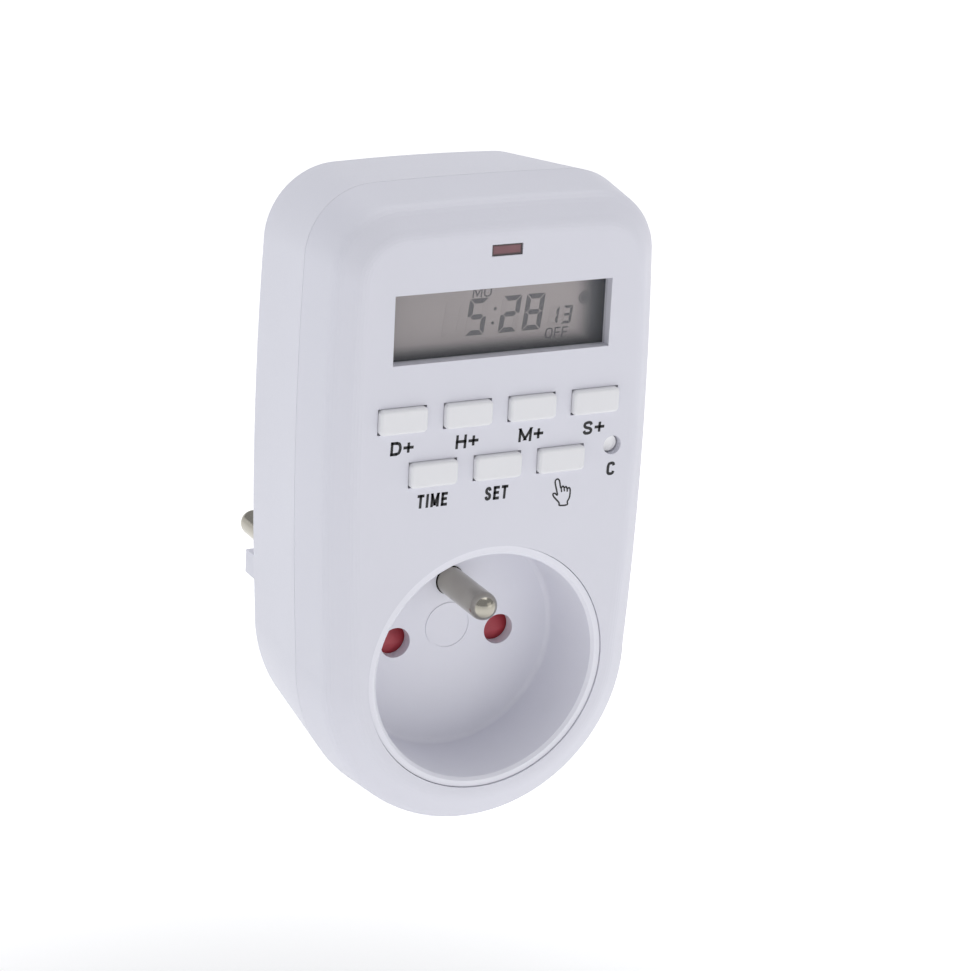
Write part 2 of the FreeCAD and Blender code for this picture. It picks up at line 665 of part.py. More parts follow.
def reset_button():
    """Sunk plunger of the reset hole."""
    plunger = rod(RESET_R, RESET_SUNK, mat_depth() - 0.3, RESET_X, RESET_Z)
    return plunger.fuse(rod(RESET_R + 0.95, *RIM_DEPTHS, RESET_X, RESET_Z)).removeSplitter()


def mat_depth():
    """Depth of the tops of the rubber domes."""
    return DISPLAY_BOARD - 2.6


def key_mat():
    """Silicone sheet with a hollow dome under each key."""
    sheet = box(-23.0, 23.0, DISPLAY_BOARD - 0.9, DISPLAY_BOARD - CLEAR, 31.6, 47.8)
    for x, z in [(x, z) for _, x, z in key_places()] + [(RESET_X, RESET_Z)]:
        dome = Part.makeCone(2.4, 1.6, 1.8, V(x, y_at(DISPLAY_BOARD - 0.8), z), FRONT)
        hollow = Part.makeCone(1.9, 1.1, 1.6, V(x, y_at(DISPLAY_BOARD + 0.4), z), FRONT)
        sheet = sheet.fuse(dome).cut(hollow)
    for x, z in BOARD_SCREWS[2:]:
        sheet = sheet.cut(rod(2.6, 6, 10, x, z))
    return sheet.removeSplitter()


# Boards and what is on them

def display_board():
    """Board that carries the glass, the key pads and the controller."""
    span = (DISPLAY_BOARD, DISPLAY_BOARD + BOARD_THICK)
    board = box(-BOARD_HALF_W, BOARD_HALF_W, *span, BOARD_FOOT, BOARD_TOP)
    for x, z in BOARD_SCREWS:
        board = board.cut(rod(BOARD_HOLE_R, DISPLAY_BOARD - 1, DISPLAY_BOARD + 3, x, z))
    for x, z in CASE_SCREWS[:2]:
        board = board.cut(rod(PILLAR_R + 1.6, DISPLAY_BOARD - 1, DISPLAY_BOARD + 3, x, z))
    return board


def power_board():
    """Board that carries the relay and the supply."""
    span = (POWER_BOARD, POWER_BOARD + BOARD_THICK)
    board = box(2.5 - BOARD_HALF_W, BOARD_HALF_W - 2.5, *span, BOARD_FOOT + 1, BOARD_TOP - 6)
    for x, z in POWER_POSTS:
        board = board.cut(rod(BOARD_HOLE_R, POWER_BOARD - 1, POWER_BOARD + 3, x, z))
    return board


def on_power_board(half_w, half_h, tall, x, z, corner=0.4):
    """A cased component that stands on the back of the power board."""
    d0 = POWER_BOARD + BOARD_THICK + CLEAR
    return pad(half_w, half_h, corner, d0, d0 + tall, x, z)


def can(radius, tall, x, z):
    """A round can that stands on the back of the power board, its top edge rolled over."""
    d0 = POWER_BOARD + BOARD_THICK + CLEAR
    body = rod(radius, d0, d0 + tall, x, z)
    return body.makeFillet(0.5, edges_at(body, d0 + tall))


def diodes():
    """Four rectifier diodes in a row."""
    y = y_at(POWER_BOARD + BOARD_THICK + DIODE_R + 0.1)
    return Part.makeCompound([
        Part.makeCylinder(DIODE_R, DIODE_LENGTH, V(DIODE_FIRST_X + DIODE_PITCH * i, y, DIODE_Z), NORTH)
        for i in range(4)])


def board_link():
    """Header strip between the two boards, stepped for the ribbon."""
    d0 = DISPLAY_BOARD + BOARD_THICK + CLEAR
    strip = box(-HEADER_HALF_W, HEADER_HALF_W, d0, d0 + 2.5, 68.0, 70.4)
    return strip.cut(box(-HEADER_HALF_W - 1, HEADER_HALF_W + 1, d0 + 1.5, d0 + 3, 67, 68.6)).removeSplitter()


def link_wires():
    """Flat ribbon between the header and the power board."""
    d0 = DISPLAY_BOARD + BOARD_THICK + 2.55
    foot = 62.0
    drop = box(-RIBBON_HALF_W, RIBBON_HALF_W, d0, d0 + RIBBON_THICK, foot, 70.0)
    turn = box(-RIBBON_HALF_W, RIBBON_HALF_W, d0, POWER_BOARD - 0.05, foot, foot + RIBBON_THICK)
    return drop.fuse(turn).removeSplitter()


def screw(x, z, seat, length, head_r, core_r, towards=-1):
    """Cross-head screw whose head sits at a depth; towards is -1 to drive forwards."""
    top = seat - towards * SCREW_HEAD_TALL
    head = rod(head_r, min(seat, top), max(seat, top), x, z)
    head = head.makeFillet(0.6, edges_at(head, top))
    tip = seat + towards * length
    shank = rod(core_r, min(seat, tip), max(seat, tip), x, z)
    cross = sorted((seat - towards * SCREW_HEAD_TALL / 2, top - towards * 0.2))
    reach = head_r * 0.6
    level = block(reach, 0.3, *cross, x, z)
    upright = block(0.3, reach, *cross, x, z)
    return head.fuse(shank).cut(level).cut(upright).removeSplitter()


def case_screws():
    """Four long screws that close the housing from behind."""
    return Part.makeCompound([
        screw(x, z, SCREW_SHELF + CLEAR, CASE_SCREW_LENGTH, SCREW_HEAD_R, SCREW_R - CLEAR)
        for x, z in CASE_SCREWS])


def board_screws():
    """Four short screws that hold the display board to its pillars."""
    seat = DISPLAY_BOARD + BOARD_THICK + CLEAR
    return Part.makeCompound([
        screw(x, z, seat, 5.6, BOARD_SCREW_HEAD_R, PILOT_R - CLEAR) for x, z in BOARD_SCREWS])


def power_screws():
    """Four short screws that hold the power board to the rear cover's posts."""
    return Part.makeCompound([
        screw(x, z, POWER_BOARD - CLEAR, 6.0, BOARD_SCREW_HEAD_R, PILOT_R - CLEAR, 1) for x, z in POWER_POSTS])


def retainer_screws():
    """Two screws that hold the shutter retainer to the well's posts."""
    seat = retainer_depth() + RETAINER_THICK + CLEAR
    return Part.makeCompound([
        screw(side * POST_X, POST_Z, seat, 4.2, 1.8, PILOT_R - CLEAR) for side in (-1, 1)])


def button_cell():
    """Round backup cell on the display board."""
    d0 = DISPLAY_BOARD + BOARD_THICK + 0.3
    cell = rod(CELL_R, d0, d0 + CELL_THICK, CELL_X, CELL_Z)
    return cell.makeFillet(0.5, edges_at(cell, d0 + CELL_THICK))


def cell_tabs():
    """Two welded tabs of the backup cell: one under it, one over it with a bent leg."""
    d0 = DISPLAY_BOARD + BOARD_THICK + CLEAR
    top = d0 + CELL_THICK + 0.3
    under = box(CELL_X - 2, CELL_X + 2, d0, d0 + TAB_THICK, CELL_Z - 5, CELL_Z + 8)
    over = box(CELL_X - 1, CELL_X + 1, top, top + TAB_THICK, CELL_Z - 7.5, CELL_Z + 2)
    leg = box(CELL_X - 1, CELL_X + 1, d0, top + TAB_THICK, CELL_Z - 7.8, CELL_Z - 7.4)
    return Part.makeCompound([under, join(over, leg)])


def controller():
    """Moulded chip that runs the clock, on the back of the display board."""
    d0 = DISPLAY_BOARD + BOARD_THICK + CLEAR
    return pad(CHIP_HALF, CHIP_HALF, 0.8, d0, d0 + CHIP_THICK, CHIP_X, CHIP_Z)


def crystal():
    """Small can that holds the clock's quartz fork."""
    y = y_at(DISPLAY_BOARD + BOARD_THICK + CRYSTAL_R + 0.1)
    return Part.makeCylinder(CRYSTAL_R, CRYSTAL_LENGTH, V(CRYSTAL_X, y, CRYSTAL_Z), NORTH)


def nodes():
    """Every separate piece, by name."""
    pieces = {
        "front_cover": front_cover(),
        "rear_cover": rear_cover(),
        "socket_well": socket_well(),
        "socket_floor": socket_floor(),
        "socket_shutter": socket_shutter(),
        "shutter_spring": shutter_spring(),
        "shutter_retainer": shutter_retainer(),
        "earth_pin": earth_pin(),
        "line_contact": socket_contact(-1, 14.0),
        "neutral_contact": socket_contact(1, 9.0),
        "line_plug_pin": plug_pin(-1),
        "neutral_plug_pin": plug_pin(1),
        "pin_carrier": pin_carrier(),
        "plug_earth_contact": plug_earth_contact(),
        "plug_earth_clips": plug_earth_clips(),
        "earth_link": earth_link(),
        "line_bar": supply_bar(-1),
        "neutral_bar": supply_bar(1),
        "lcd_lens": lcd_lens(),
        "lcd_holder": lcd_holder(),
        "lcd_glass": lcd_glass(),
        "contact_strips": contact_strips(),
        "led_lens": led_lens(),
        "led_lamp": led_lamp(),
        "reset_button": reset_button(),
        "key_mat": key_mat(),
        "display_board": display_board(),
        "power_board": power_board(),
        "relay": on_power_board(*RELAY),
        "film_capacitor": on_power_board(*FILM_CAPACITOR),
        "smoothing_capacitor": can(*SMOOTHING_CAN),
        "storage_capacitor": can(*STORAGE_CAN),
        "varistor": on_power_board(*VARISTOR, 1.2),
        "fuse": on_power_board(*FUSE, 0.8),
        "diodes": diodes(),
        "board_link": board_link(),
        "link_wires": link_wires(),
        "button_cell": button_cell(),
        "cell_tabs": cell_tabs(),
        "controller": controller(),
        "crystal": crystal(),
        "case_screws": case_screws(),
        "board_screws": board_screws(),
        "power_screws": power_screws(),
        "retainer_screws": retainer_screws(),
    }
    for name, x, z in key_places():
        pieces[name] = key_cap(x, z)
    return pieces


def main():
    """Write one STEP file for each piece."""
    os.makedirs("parts", exist_ok=True)
    for name, shape in nodes().items():
        if not shape.isValid():
            print("not valid:", name)
        shape.exportStep("parts/" + name + ".step")
        print(name, len(shape.Solids), "solids", round(shape.Volume, 1), "mm3")


main()
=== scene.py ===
# Looks of a plug-in weekly timer switch: moulded finishes, printed marks, display and stage.
import math

import bpy
import numpy as np
from bpy.props import FloatProperty, FloatVectorProperty, PointerProperty
from mathutils import Matrix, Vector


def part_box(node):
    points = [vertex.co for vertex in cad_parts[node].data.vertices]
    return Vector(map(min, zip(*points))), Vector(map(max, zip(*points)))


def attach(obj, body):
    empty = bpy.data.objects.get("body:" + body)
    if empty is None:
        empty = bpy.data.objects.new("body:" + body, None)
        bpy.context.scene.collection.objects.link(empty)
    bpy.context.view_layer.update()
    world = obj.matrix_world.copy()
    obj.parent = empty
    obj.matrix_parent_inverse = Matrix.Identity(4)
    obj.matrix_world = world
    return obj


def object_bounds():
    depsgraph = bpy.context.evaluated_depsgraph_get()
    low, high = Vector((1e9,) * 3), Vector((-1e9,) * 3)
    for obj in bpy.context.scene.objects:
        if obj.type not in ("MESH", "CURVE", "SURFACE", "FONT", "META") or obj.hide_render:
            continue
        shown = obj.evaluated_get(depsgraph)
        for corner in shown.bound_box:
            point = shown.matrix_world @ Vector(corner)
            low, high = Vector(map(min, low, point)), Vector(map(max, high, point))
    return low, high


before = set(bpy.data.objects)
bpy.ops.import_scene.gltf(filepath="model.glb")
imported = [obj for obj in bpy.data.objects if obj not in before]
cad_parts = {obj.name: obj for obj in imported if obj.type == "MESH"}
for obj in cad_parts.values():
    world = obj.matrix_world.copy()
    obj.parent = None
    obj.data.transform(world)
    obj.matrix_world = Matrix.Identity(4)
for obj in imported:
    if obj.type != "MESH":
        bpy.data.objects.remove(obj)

bl_info = {
    "name": "Plug-in timer switch",
    "version": (1, 0, 0),
    "blender": (4, 5, 0),
    "location": "View3D > Sidebar > Timer",
    "description": "Finishes, printed marks, display and stage for a plug-in timer switch",
    "category": "Add Mesh",
}

CAD_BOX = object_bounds()
MM = 0.001

# The photograph's camera, fitted to the object: a real place, angles and focal length
PHOTO_PIXELS = (970, 971)
CAMERA_PLACE = (-0.22492, -0.49611, 0.20103)
CAMERA_AZIMUTH = math.radians(-27.0786)
CAMERA_ELEVATION = math.radians(19.0642)
CAMERA_ROLL = math.radians(2.8276)
CAMERA_FOCAL_PIXELS = 3247.2
SENSOR_MM = 36.0

# Places read from the frame. The recess floor starts with a fillet, and both windows have a hidden rim
PANEL_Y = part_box("front_cover")[0].y
GLASS_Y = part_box("lcd_glass")[0].y
WINDOW_LOW, WINDOW_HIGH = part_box("lcd_lens")
LENS_RIM = (2.0 * MM, 1.8 * MM)
LAMP_RIM = (1.05 * MM, 0.85 * MM)
FOOT_Z = CAD_BOX[0].z
FLOOR_FILLET = 0.9 * MM
RECESS_FLOOR_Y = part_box("socket_floor")[0].y + FLOOR_FILLET

# How far the hidden back of a printed or switched film stays off what carries it
FILM_LIFT = 0.002 * MM
INK_LIFT = 0.001 * MM

# Refractive indices of the white mouldings, which are ABS and polycarbonate, of nylon and of clear mouldings
MOULDING_IOR = 1.54
NYLON_IOR = 1.53
CLEAR_IOR = 1.58

# The thin edge of the recess floor that laps over the earth pin's shank
LAP_WIDTH = 0.42 * MM
LAP_FRONT, LAP_BACK = -0.03 * MM, 0.01 * MM
LAP_SIDES = 72

# Depths past the recess floor between which painted shade darkens the earth pin's shank, where it sits in the
# floor's hole
ROOT_SHADE_START, ROOT_SHADE_END = -0.5 * MM, -0.1 * MM

# The display's digits, each with its bars and the X of its middle in millimetres, lit and unlit
LARGE_DIGITS = (("5", -3.1), ("2", 2.75), ("8", 6.95))
SMALL_DIGITS = (("1", 10.6), ("3", 13.0))
LARGE_UNLIT = (("be", -3.1), ("cf", 2.75), ("abcdefg", -7.2))
SMALL_UNLIT = (("adefg", 10.6), ("ef", 13.0))
# In millimetres: from the window's foot up to the middle of the digits, from there down to the middle of
# the small ones, and a small one's width
DIGIT_RISE, SMALL_DROP, SMALL_WIDTH = 5.75, 0.95, 1.75
# Shares: a small digit's bar of a large one's, the gap between two bars of a bar, and sideways lean of height
SMALL_BAR, SEGMENT_GAP, SLANT = 0.55, 0.14, 0.13
# The colon's dots, and the round mark with the radius and pen of its ring and the radius of its disc
COLON = ((0.1, 59.95), (-0.25, 57.65))
COLON_RADIUS = 0.28
ROUND_MARK = (16.0, 60.5)
ROUND_MARK_RING, ROUND_MARK_PEN, ROUND_MARK_DISC = 0.95, 0.22, 0.68
ROUND_MARK_SIDES = 28

# Words on the display, in millimetres: name of the piece, word, middle in X and Z, width and height
SIGNS = (
    ("display_off", "OFF", (11.25, 55.1), (4.0, 1.75)),
    ("display_day", "MO", (-2.3, 63.0), (3.3, 1.9)),
)
SIGN_PEN, SIGN_GAP, SIGN_LEAN = 0.23, 0.3, 0.1

# Generic legends, each with its key and its width in millimetres, and how far right of the key's middle
# they stand; then the letter under the reset hole, with its width and its drop from the hole
LEGENDS = (
    ("key_day", "D+", 4.0), ("key_hour", "H+", 4.0), ("key_minute", "M+", 4.4), ("key_second", "S+", 3.9),
    ("key_time", "TIME", 5.3), ("key_set", "SET", 4.1),
)
LEGEND_SHIFT = 0.15
RESET_LEGEND, RESET_WIDTH, RESET_DROP = "C", 1.5, 4.0

# The pointing hand, in millimetres about its middle: outline of finger, knuckles and wrist, then the folds
HAND_OUTLINE = (
    (-0.75, -0.35), (-1.28, 1.75), (-1.0, 2.3), (-0.55, 2.05), (-0.2, 0.75), (0.15, 1.0), (0.45, 0.7),
    (0.75, 0.85), (1.0, 0.5), (1.35, 0.6), (1.55, 0.15), (1.5, -1.0), (1.15, -1.75), (1.1, -2.3),
    (-0.25, -2.25), (-0.4, -1.75), (-1.4, -0.65), (-1.55, -0.15), (-1.2, -0.1),
)
HAND_FOLDS = (((-0.1, 0.6), (-0.0, 0.0)), ((0.42, 0.62), (0.5, 0.05)), ((0.98, 0.45), (1.02, -0.05)))
# The hand's place from the middle of its key, its pen, and the folds' share of that pen
HAND_SHIFT, HAND_DROP = 0.65, 5.8
HAND_PEN, FOLD_SHARE = 0.27, 0.9
HAND_STEPS = 6

# The floor in metres: its flat part, whole reach and rise at the rim, and how its mesh is divided
FLOOR_FLAT, FLOOR_REACH, FLOOR_RISE = 1.6, 6.0, 1.4
FLOOR_SIDES, FLOOR_RINGS = 64, 12

# Distances from the origin between which the floor's own light comes up, leaving a painted shadow under the
# object
PAINTED_SHADOW_START, PAINTED_SHADOW_END = 130 * MM, 260 * MM

# Soft boxes in metres and watts: a strong one overhead, weaker ones at the front right and the left
SOFT_BOXES = (
    ("light_overhead", (0.1, 0.15, 1.1), (0.0, -0.02, 0.03), 1.2, 6.8, "#ffffff"),
    ("light_front_right", (0.7, -1.1, 0.35), (0.0, -0.04, 0.02), 0.8, 1.0, "#fffefa"),
    ("light_left", (-1.2, 0.4, 0.25), (0.0, -0.04, 0.02), 0.9, 0.5, "#d0e8ff"),
)


def srgb(code):
    """An sRGB hex colour as linear light."""
    parts = np.array([int(code[i:i + 2], 16) for i in (1, 3, 5)]) / 255
    light = np.where(parts <= 0.04045, parts / 12.92, ((parts + 0.055) / 1.055) ** 2.4)
    return tuple(float(v) for v in light)


def centre_of(node):
    """The middle of a CAD node's box."""
    low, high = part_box(node)
    return (low + high) / 2


def colour(name, text, code):
    """A colour property with its default as an sRGB hex value."""
    return FloatVectorProperty(
        name=name, description=text, subtype="COLOR", size=3, min=0, max=1, default=srgb(code))


def length(name, text, millimetres):
    """A length property with its default in millimetres."""
    return FloatProperty(name=name, description=text, unit="LENGTH", default=millimetres * MM)


class ShellSizes(bpy.types.PropertyGroup):
    """Finish of the moulded shells, the socket well and the keys."""
    shell: colour("Shell", "Colour of both housing shells", "#dadae3")
    well: colour("Socket well", "Colour of the socket well", "#e6e6ee")
    key: colour("Keys", "Colour of the key caps", "#e3e3e6")
    shutter: colour("Shutter", "Colour of the socket shutter", "#c84d58")
    grain: length("Grain", "Size of the eroded grain on the shells", 0.45)
    patch: length("Patches", "Size of the faint uneven patches", 26)
    lap: length("Lap", "Radius of the floor's edge round the earth pin", 2.76)


class MetalSizes(bpy.types.PropertyGroup):
    """Finish of the pins, contacts, spring and screws."""
    nickel: colour("Nickel", "Colour of the plated pins", "#aeaa9f")
    brass: colour("Brass", "Colour of the stamped strips", "#c9a45a")
    steel: colour("Steel", "Colour of the screws, tabs and spring", "#b9bbbd")
    draw_marks: length("Draw marks", "Width of the fine marks along a pin", 0.16)


class DisplaySizes(bpy.types.PropertyGroup):
    """The liquid crystal display."""
    pane: colour("Pane", "Colour of the display's background", "#a39a98")
    shade: colour("Shade", "Colour of the pane's shaded edges", "#26262a")
    mark: colour("Marks", "Colour of the dark segments", "#4c484b")
    digit: length("Digit height", "Height of the large digits", 6.0)
    digit_width: length("Digit width", "Width of the large digits", 3.3)
    bar: length("Segment", "Width of a large digit's segment", 0.82)
    small: length("Small digit height", "Height of the small digits", 3.0)
    film: length("Mark thickness", "Thickness of a segment's film", 0.03)


class PrintSizes(bpy.types.PropertyGroup):
    """The printed marks on the panel."""
    ink: colour("Ink", "Colour of the printed marks", "#17171a")
    cap: length("Letter height", "Height of the printed letters", 2.3)
    drop: length("Drop", "From the middle of a key to the middle of its legend", 4.6)
    pen: length("Pen", "Width of a letter's stroke", 0.48)
    gap: length("Letter gap", "Clear space between two letters", 0.34)
    film: length("Ink thickness", "Thickness of the printed ink", 0.02)


class StageSizes(bpy.types.PropertyGroup):
    """Floor and lights."""
    floor: colour("Floor", "Colour of the floor", "#fbfbfb")
    sky: colour("Air", "Colour of the light from all round", "#fafbff")
    sky_power: FloatProperty(
        name="Air strength", description="Strength of the light from all round", default=0.42)
    floor_glow: FloatProperty(
        name="Floor glow", description="Light given by the back-lit floor", default=0.52)
    floor_drop: length("Floor drop", "From the object's foot down to the floor", 110)


GROUPS = {
    "timer_shell": ShellSizes,
    "timer_metal": MetalSizes,
    "timer_display": DisplaySizes,
    "timer_print": PrintSizes,
    "timer_stage": StageSizes,
}


# Materials

# Noise lies mostly between these two, and a finish's gloss varies by this share
NOISE_LOW, NOISE_HIGH = 0.3, 0.7
GLOSS_SPREAD = 0.15


def add(tree, kind, settings=None, inputs=None):
    """Adds one shader node, with its settings, and its inputs as values or links."""
    made = tree.nodes.new("ShaderNode" + kind)
    for key, value in (settings or {}).items():
        setattr(made, key, value)
    for key, value in (inputs or {}).items():
        if isinstance(value, bpy.types.NodeSocket):
            tree.links.new(value, made.inputs[key])
        else:
            made.inputs[key].default_value = value
    return made


def blank(name):
    """A new material with only its output and its principled shader."""
    made = bpy.data.materials.new(name)
    made.use_nodes = True
    made.node_tree.nodes.clear()
    shader = add(made.node_tree, "BsdfPrincipled")
    add(made.node_tree, "OutputMaterial", inputs={"Surface": shader.outputs["BSDF"]})
    return made, made.node_tree, shader


def shade(tone, share=1.0):
    """A linear colour made lighter or darker by a share, as RGBA."""
    return tuple(min(1.0, max(0.0, v * share)) for v in tone) + (1.0,)


def set_ramp(ramp, stops):
    """Sets a colour ramp's two stops, given as (position, RGBA)."""
    for element, (position, rgba) in zip(ramp.elements, stops):
        element.position = position
        element.color = rgba


def mix_in(tree, shader, factor, tone):
    """Lays a plain colour over what feeds the shader's base colour, by a factor from 0 to 1."""
    under = shader.inputs["Base Color"].links[0].from_socket
    mixed = add(tree, "Mix", {"data_type": "RGBA"}, {"Factor": factor, "A": under, "B": shade(tone)})
    tree.links.new(mixed.outputs["Result"], shader.inputs["Base Color"])


def surface(name, tone, rough, grain, depth, patch=20 * MM, spread=0.03, stretch=(1, 1, 1), **sockets):
    """A finish with fine bumps of the grain's size, and faint patches in colour and gloss."""
    made, tree, shader = blank(name)
    place = add(tree, "TexCoord").outputs["Object"]
    mapped = add(tree, "Mapping", {}, {"Vector": place, "Scale": stretch}).outputs["Vector"]
    fine = add(tree, "TexNoise", {}, {"Vector": mapped, "Scale": 1 / grain, "Detail": 3.0, "Roughness": 0.6})
    broad = add(tree, "TexNoise", {}, {"Vector": place, "Scale": 1 / patch, "Detail": 2.0})
    tint = add(tree, "ValToRGB", {}, {"Fac": broad.outputs["Fac"]})
    set_ramp(tint.color_ramp, [(NOISE_LOW, shade(tone, 1 - spread)), (NOISE_HIGH, shade(tone, 1 + spread))])
    gloss = add(tree, "MapRange", {}, {
        "Value": fine.outputs["Fac"], "From Min": NOISE_LOW, "From Max": NOISE_HIGH,
        "To Min": rough * (1 - GLOSS_SPREAD), "To Max": min(1.0, rough * (1 + GLOSS_SPREAD))})
    bump = add(tree, "Bump", {}, {"Height": fine.outputs["Fac"], "Distance": depth, "Strength": 1.0})
    tree.links.new(tint.outputs["Color"], shader.inputs["Base Color"])
    tree.links.new(gloss.outputs["Result"], shader.inputs["Roughness"])
    tree.links.new(bump.outputs["Normal"], shader.inputs["Normal"])
    for key, value in sockets.items():
        shader.inputs[key.replace("_", " ")].default_value = value
    return made


def paint(nodes, material):
    """Gives CAD nodes their material in each of their slots."""
    for node in nodes:
        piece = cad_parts[node]
        if not piece.material_slots:
            piece.data.materials.append(material)
        for entry in piece.material_slots:
            entry.material = material


# Shapes

def as_object(name, points, faces, material, slot, body="housing"):
    """A mesh object from arrays of points and faces, riding on a body."""
    mesh = bpy.data.meshes.new(name)
    mesh.from_pydata(points.tolist(), [], faces)
    mesh.materials.append(material)
    mesh.update()
    made = bpy.data.objects.new(name, mesh)
    bpy.context.scene.collection.objects.link(made)
    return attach(made, body)


def slab(outlines, y_front, y_back):
    """Thin prisms from (count, corners, 2) outlines in X and Z: two faces each, and a quad per edge.

    An outline with a negative area runs clockwise and is turned round, so every prism faces outwards.
    """
    count, corners, _ = outlines.shape
    following = np.roll(outlines, -1, axis=1)
    area = (outlines[..., 0] * following[..., 1] - following[..., 0] * outlines[..., 1]).sum(axis=1)
    outlines = np.where(area[:, None, None] < 0, outlines[:, ::-1], outlines)
    front = np.dstack([outlines[..., 0], np.full((count, corners), y_front), outlines[..., 1]])
    back = front.copy()
    back[..., 1] = y_back
    points = np.concatenate([front, back], axis=1).reshape(-1, 3)
    base = np.arange(count)[:, None] * 2 * corners
    ring = np.arange(corners)
    ahead = (ring + 1) % corners
    faces = (base + ring).tolist() + (base + corners + ring[::-1]).tolist()
    sides = np.stack([ahead, ring, ring + corners, ahead + corners], axis=1)
    faces += (base[:, None] + sides[None]).reshape(-1, 4).tolist()
    return points, faces


def join_slabs(parts):
    """Several (points, faces) pairs as one, each one's faces counted on from the points before it."""
    points, faces, start = [], [], 0
    for part_points, part_faces in parts:
        points.append(part_points)
        faces += [[corner + start for corner in face] for face in part_faces]
        start += len(part_points)
    return np.concatenate(points), faces


# The bars that each digit shows: a is the top one, b to f go round clockwise, and g is the middle one
DIGITS = {"1": "bc", "2": "abged", "3": "abgcd", "5": "afgcd", "8": "abcdefg"}


def digit_bars(which, x, z, width, height, bar, slant):
    """Six-cornered bars of one digit, sheared by its slant.

    a to f are strips round a rectangle, mitred at its corners, and g is a bar with pointed ends across it.
    """
    w, h, gap = width / 2, height / 2, bar * SEGMENT_GAP
    cap = np.array([(gap - w, h), (0, h), (w - gap, h), (w - bar - gap, h - bar), (0, h - bar),
                    (bar + gap - w, h - bar)])
    side = np.array([(w, gap / 2), (w, h / 2), (w, h - gap), (w - bar, h - bar - gap),
                     (w - bar, (bar + gap) / 2), (w - bar / 2, gap / 2)])
    tip, flank = w - bar / 2 - gap, w - bar - gap
    middle = np.array([(tip, 0), (flank, bar / 2), (-flank, bar / 2), (-tip, 0), (-flank, -bar / 2),
                       (flank, -bar / 2)])
    shapes = {"a": cap, "b": side, "c": side * (1, -1), "d": cap * (1, -1), "e": -side,
              "f": side * (-1, 1), "g": middle}
    bars = np.array([shapes[letter] for letter in DIGITS.get(which, which)])
    bars[..., 0] += slant * bars[..., 1]
    return bars + np.array([x, z])


def circle(radius, corners):
    """Corners evenly round a circle: the cosine and sine of each one's angle, times the radius."""
    turn = np.arange(corners) * 2 * np.pi / corners
    return np.stack([np.cos(turn), np.sin(turn)], axis=1) * radius


def discs(centres, radius, corners=20):
    """Round dots as many-cornered outlines, one circle about each centre."""
    return np.asarray(centres)[:, None] + circle(radius, corners)[None]


def smooth_line(points, steps=8, closed=False):
    """A line through the points: a Catmull-Rom curve, each span from its four nearest points."""
    p = np.asarray(points, float)
    if closed:
        p = np.concatenate([p[-1:], p, p[:2]])
    else:
        p = np.concatenate([2 * p[:1] - p[1:2], p, 2 * p[-1:] - p[-2:-1]])
    t = (np.arange(steps) / steps)[:, None, None]
    a, b, c, d = (p[i:len(p) - 3 + i][None] for i in range(4))
    squared, cubed = (2 * a - 5 * b + 4 * c - d) * t ** 2, (3 * b - a - 3 * c + d) * t ** 3
    curve = 0.5 * (2 * b + (c - a) * t + squared + cubed)
    curve = curve.transpose(1, 0, 2).reshape(-1, 2)
    return curve if closed else np.concatenate([curve, p[-2:-1]])


def unit(rows):
    """Each row divided by its own length."""
    return rows / np.linalg.norm(rows, axis=1, keepdims=True)


def band_slab(line, width, y_front, y_back, closed=False):
    """A pen stroke: a rectangular profile carried along the line, square to it, and closed at its ends."""
    count = len(line)
    ahead = np.roll(line, -1, axis=0) - line
    behind = line - np.roll(line, 1, axis=0)
    if not closed:
        ahead[-1], behind[0] = behind[-1], ahead[0]
    way = unit(unit(ahead) + unit(behind))
    side = np.stack([-way[:, 1], way[:, 0]], axis=1) * width / 2
    left, right = line + side, line - side
    rails = [(left, y_front), (right, y_front), (right, y_back), (left, y_back)]
    points = np.stack([np.stack([r[:, 0], np.full(count, y), r[:, 1]], axis=1) for r, y in rails], axis=1)
    rung = np.arange(count if closed else count - 1)[:, None]
    nxt = (rung + 1) % count
    edge = np.arange(4)[None]
    turn = (edge + 1) % 4
    quads = np.stack([rung * 4 + edge, rung * 4 + turn, nxt * 4 + turn, nxt * 4 + edge], axis=2)
    faces = quads.reshape(-1, 4).tolist()
    if not closed:
        last = (count - 1) * 4
        faces += [[3, 2, 1, 0], [last, last + 1, last + 2, last + 3]]
    return points.reshape(-1, 3), faces


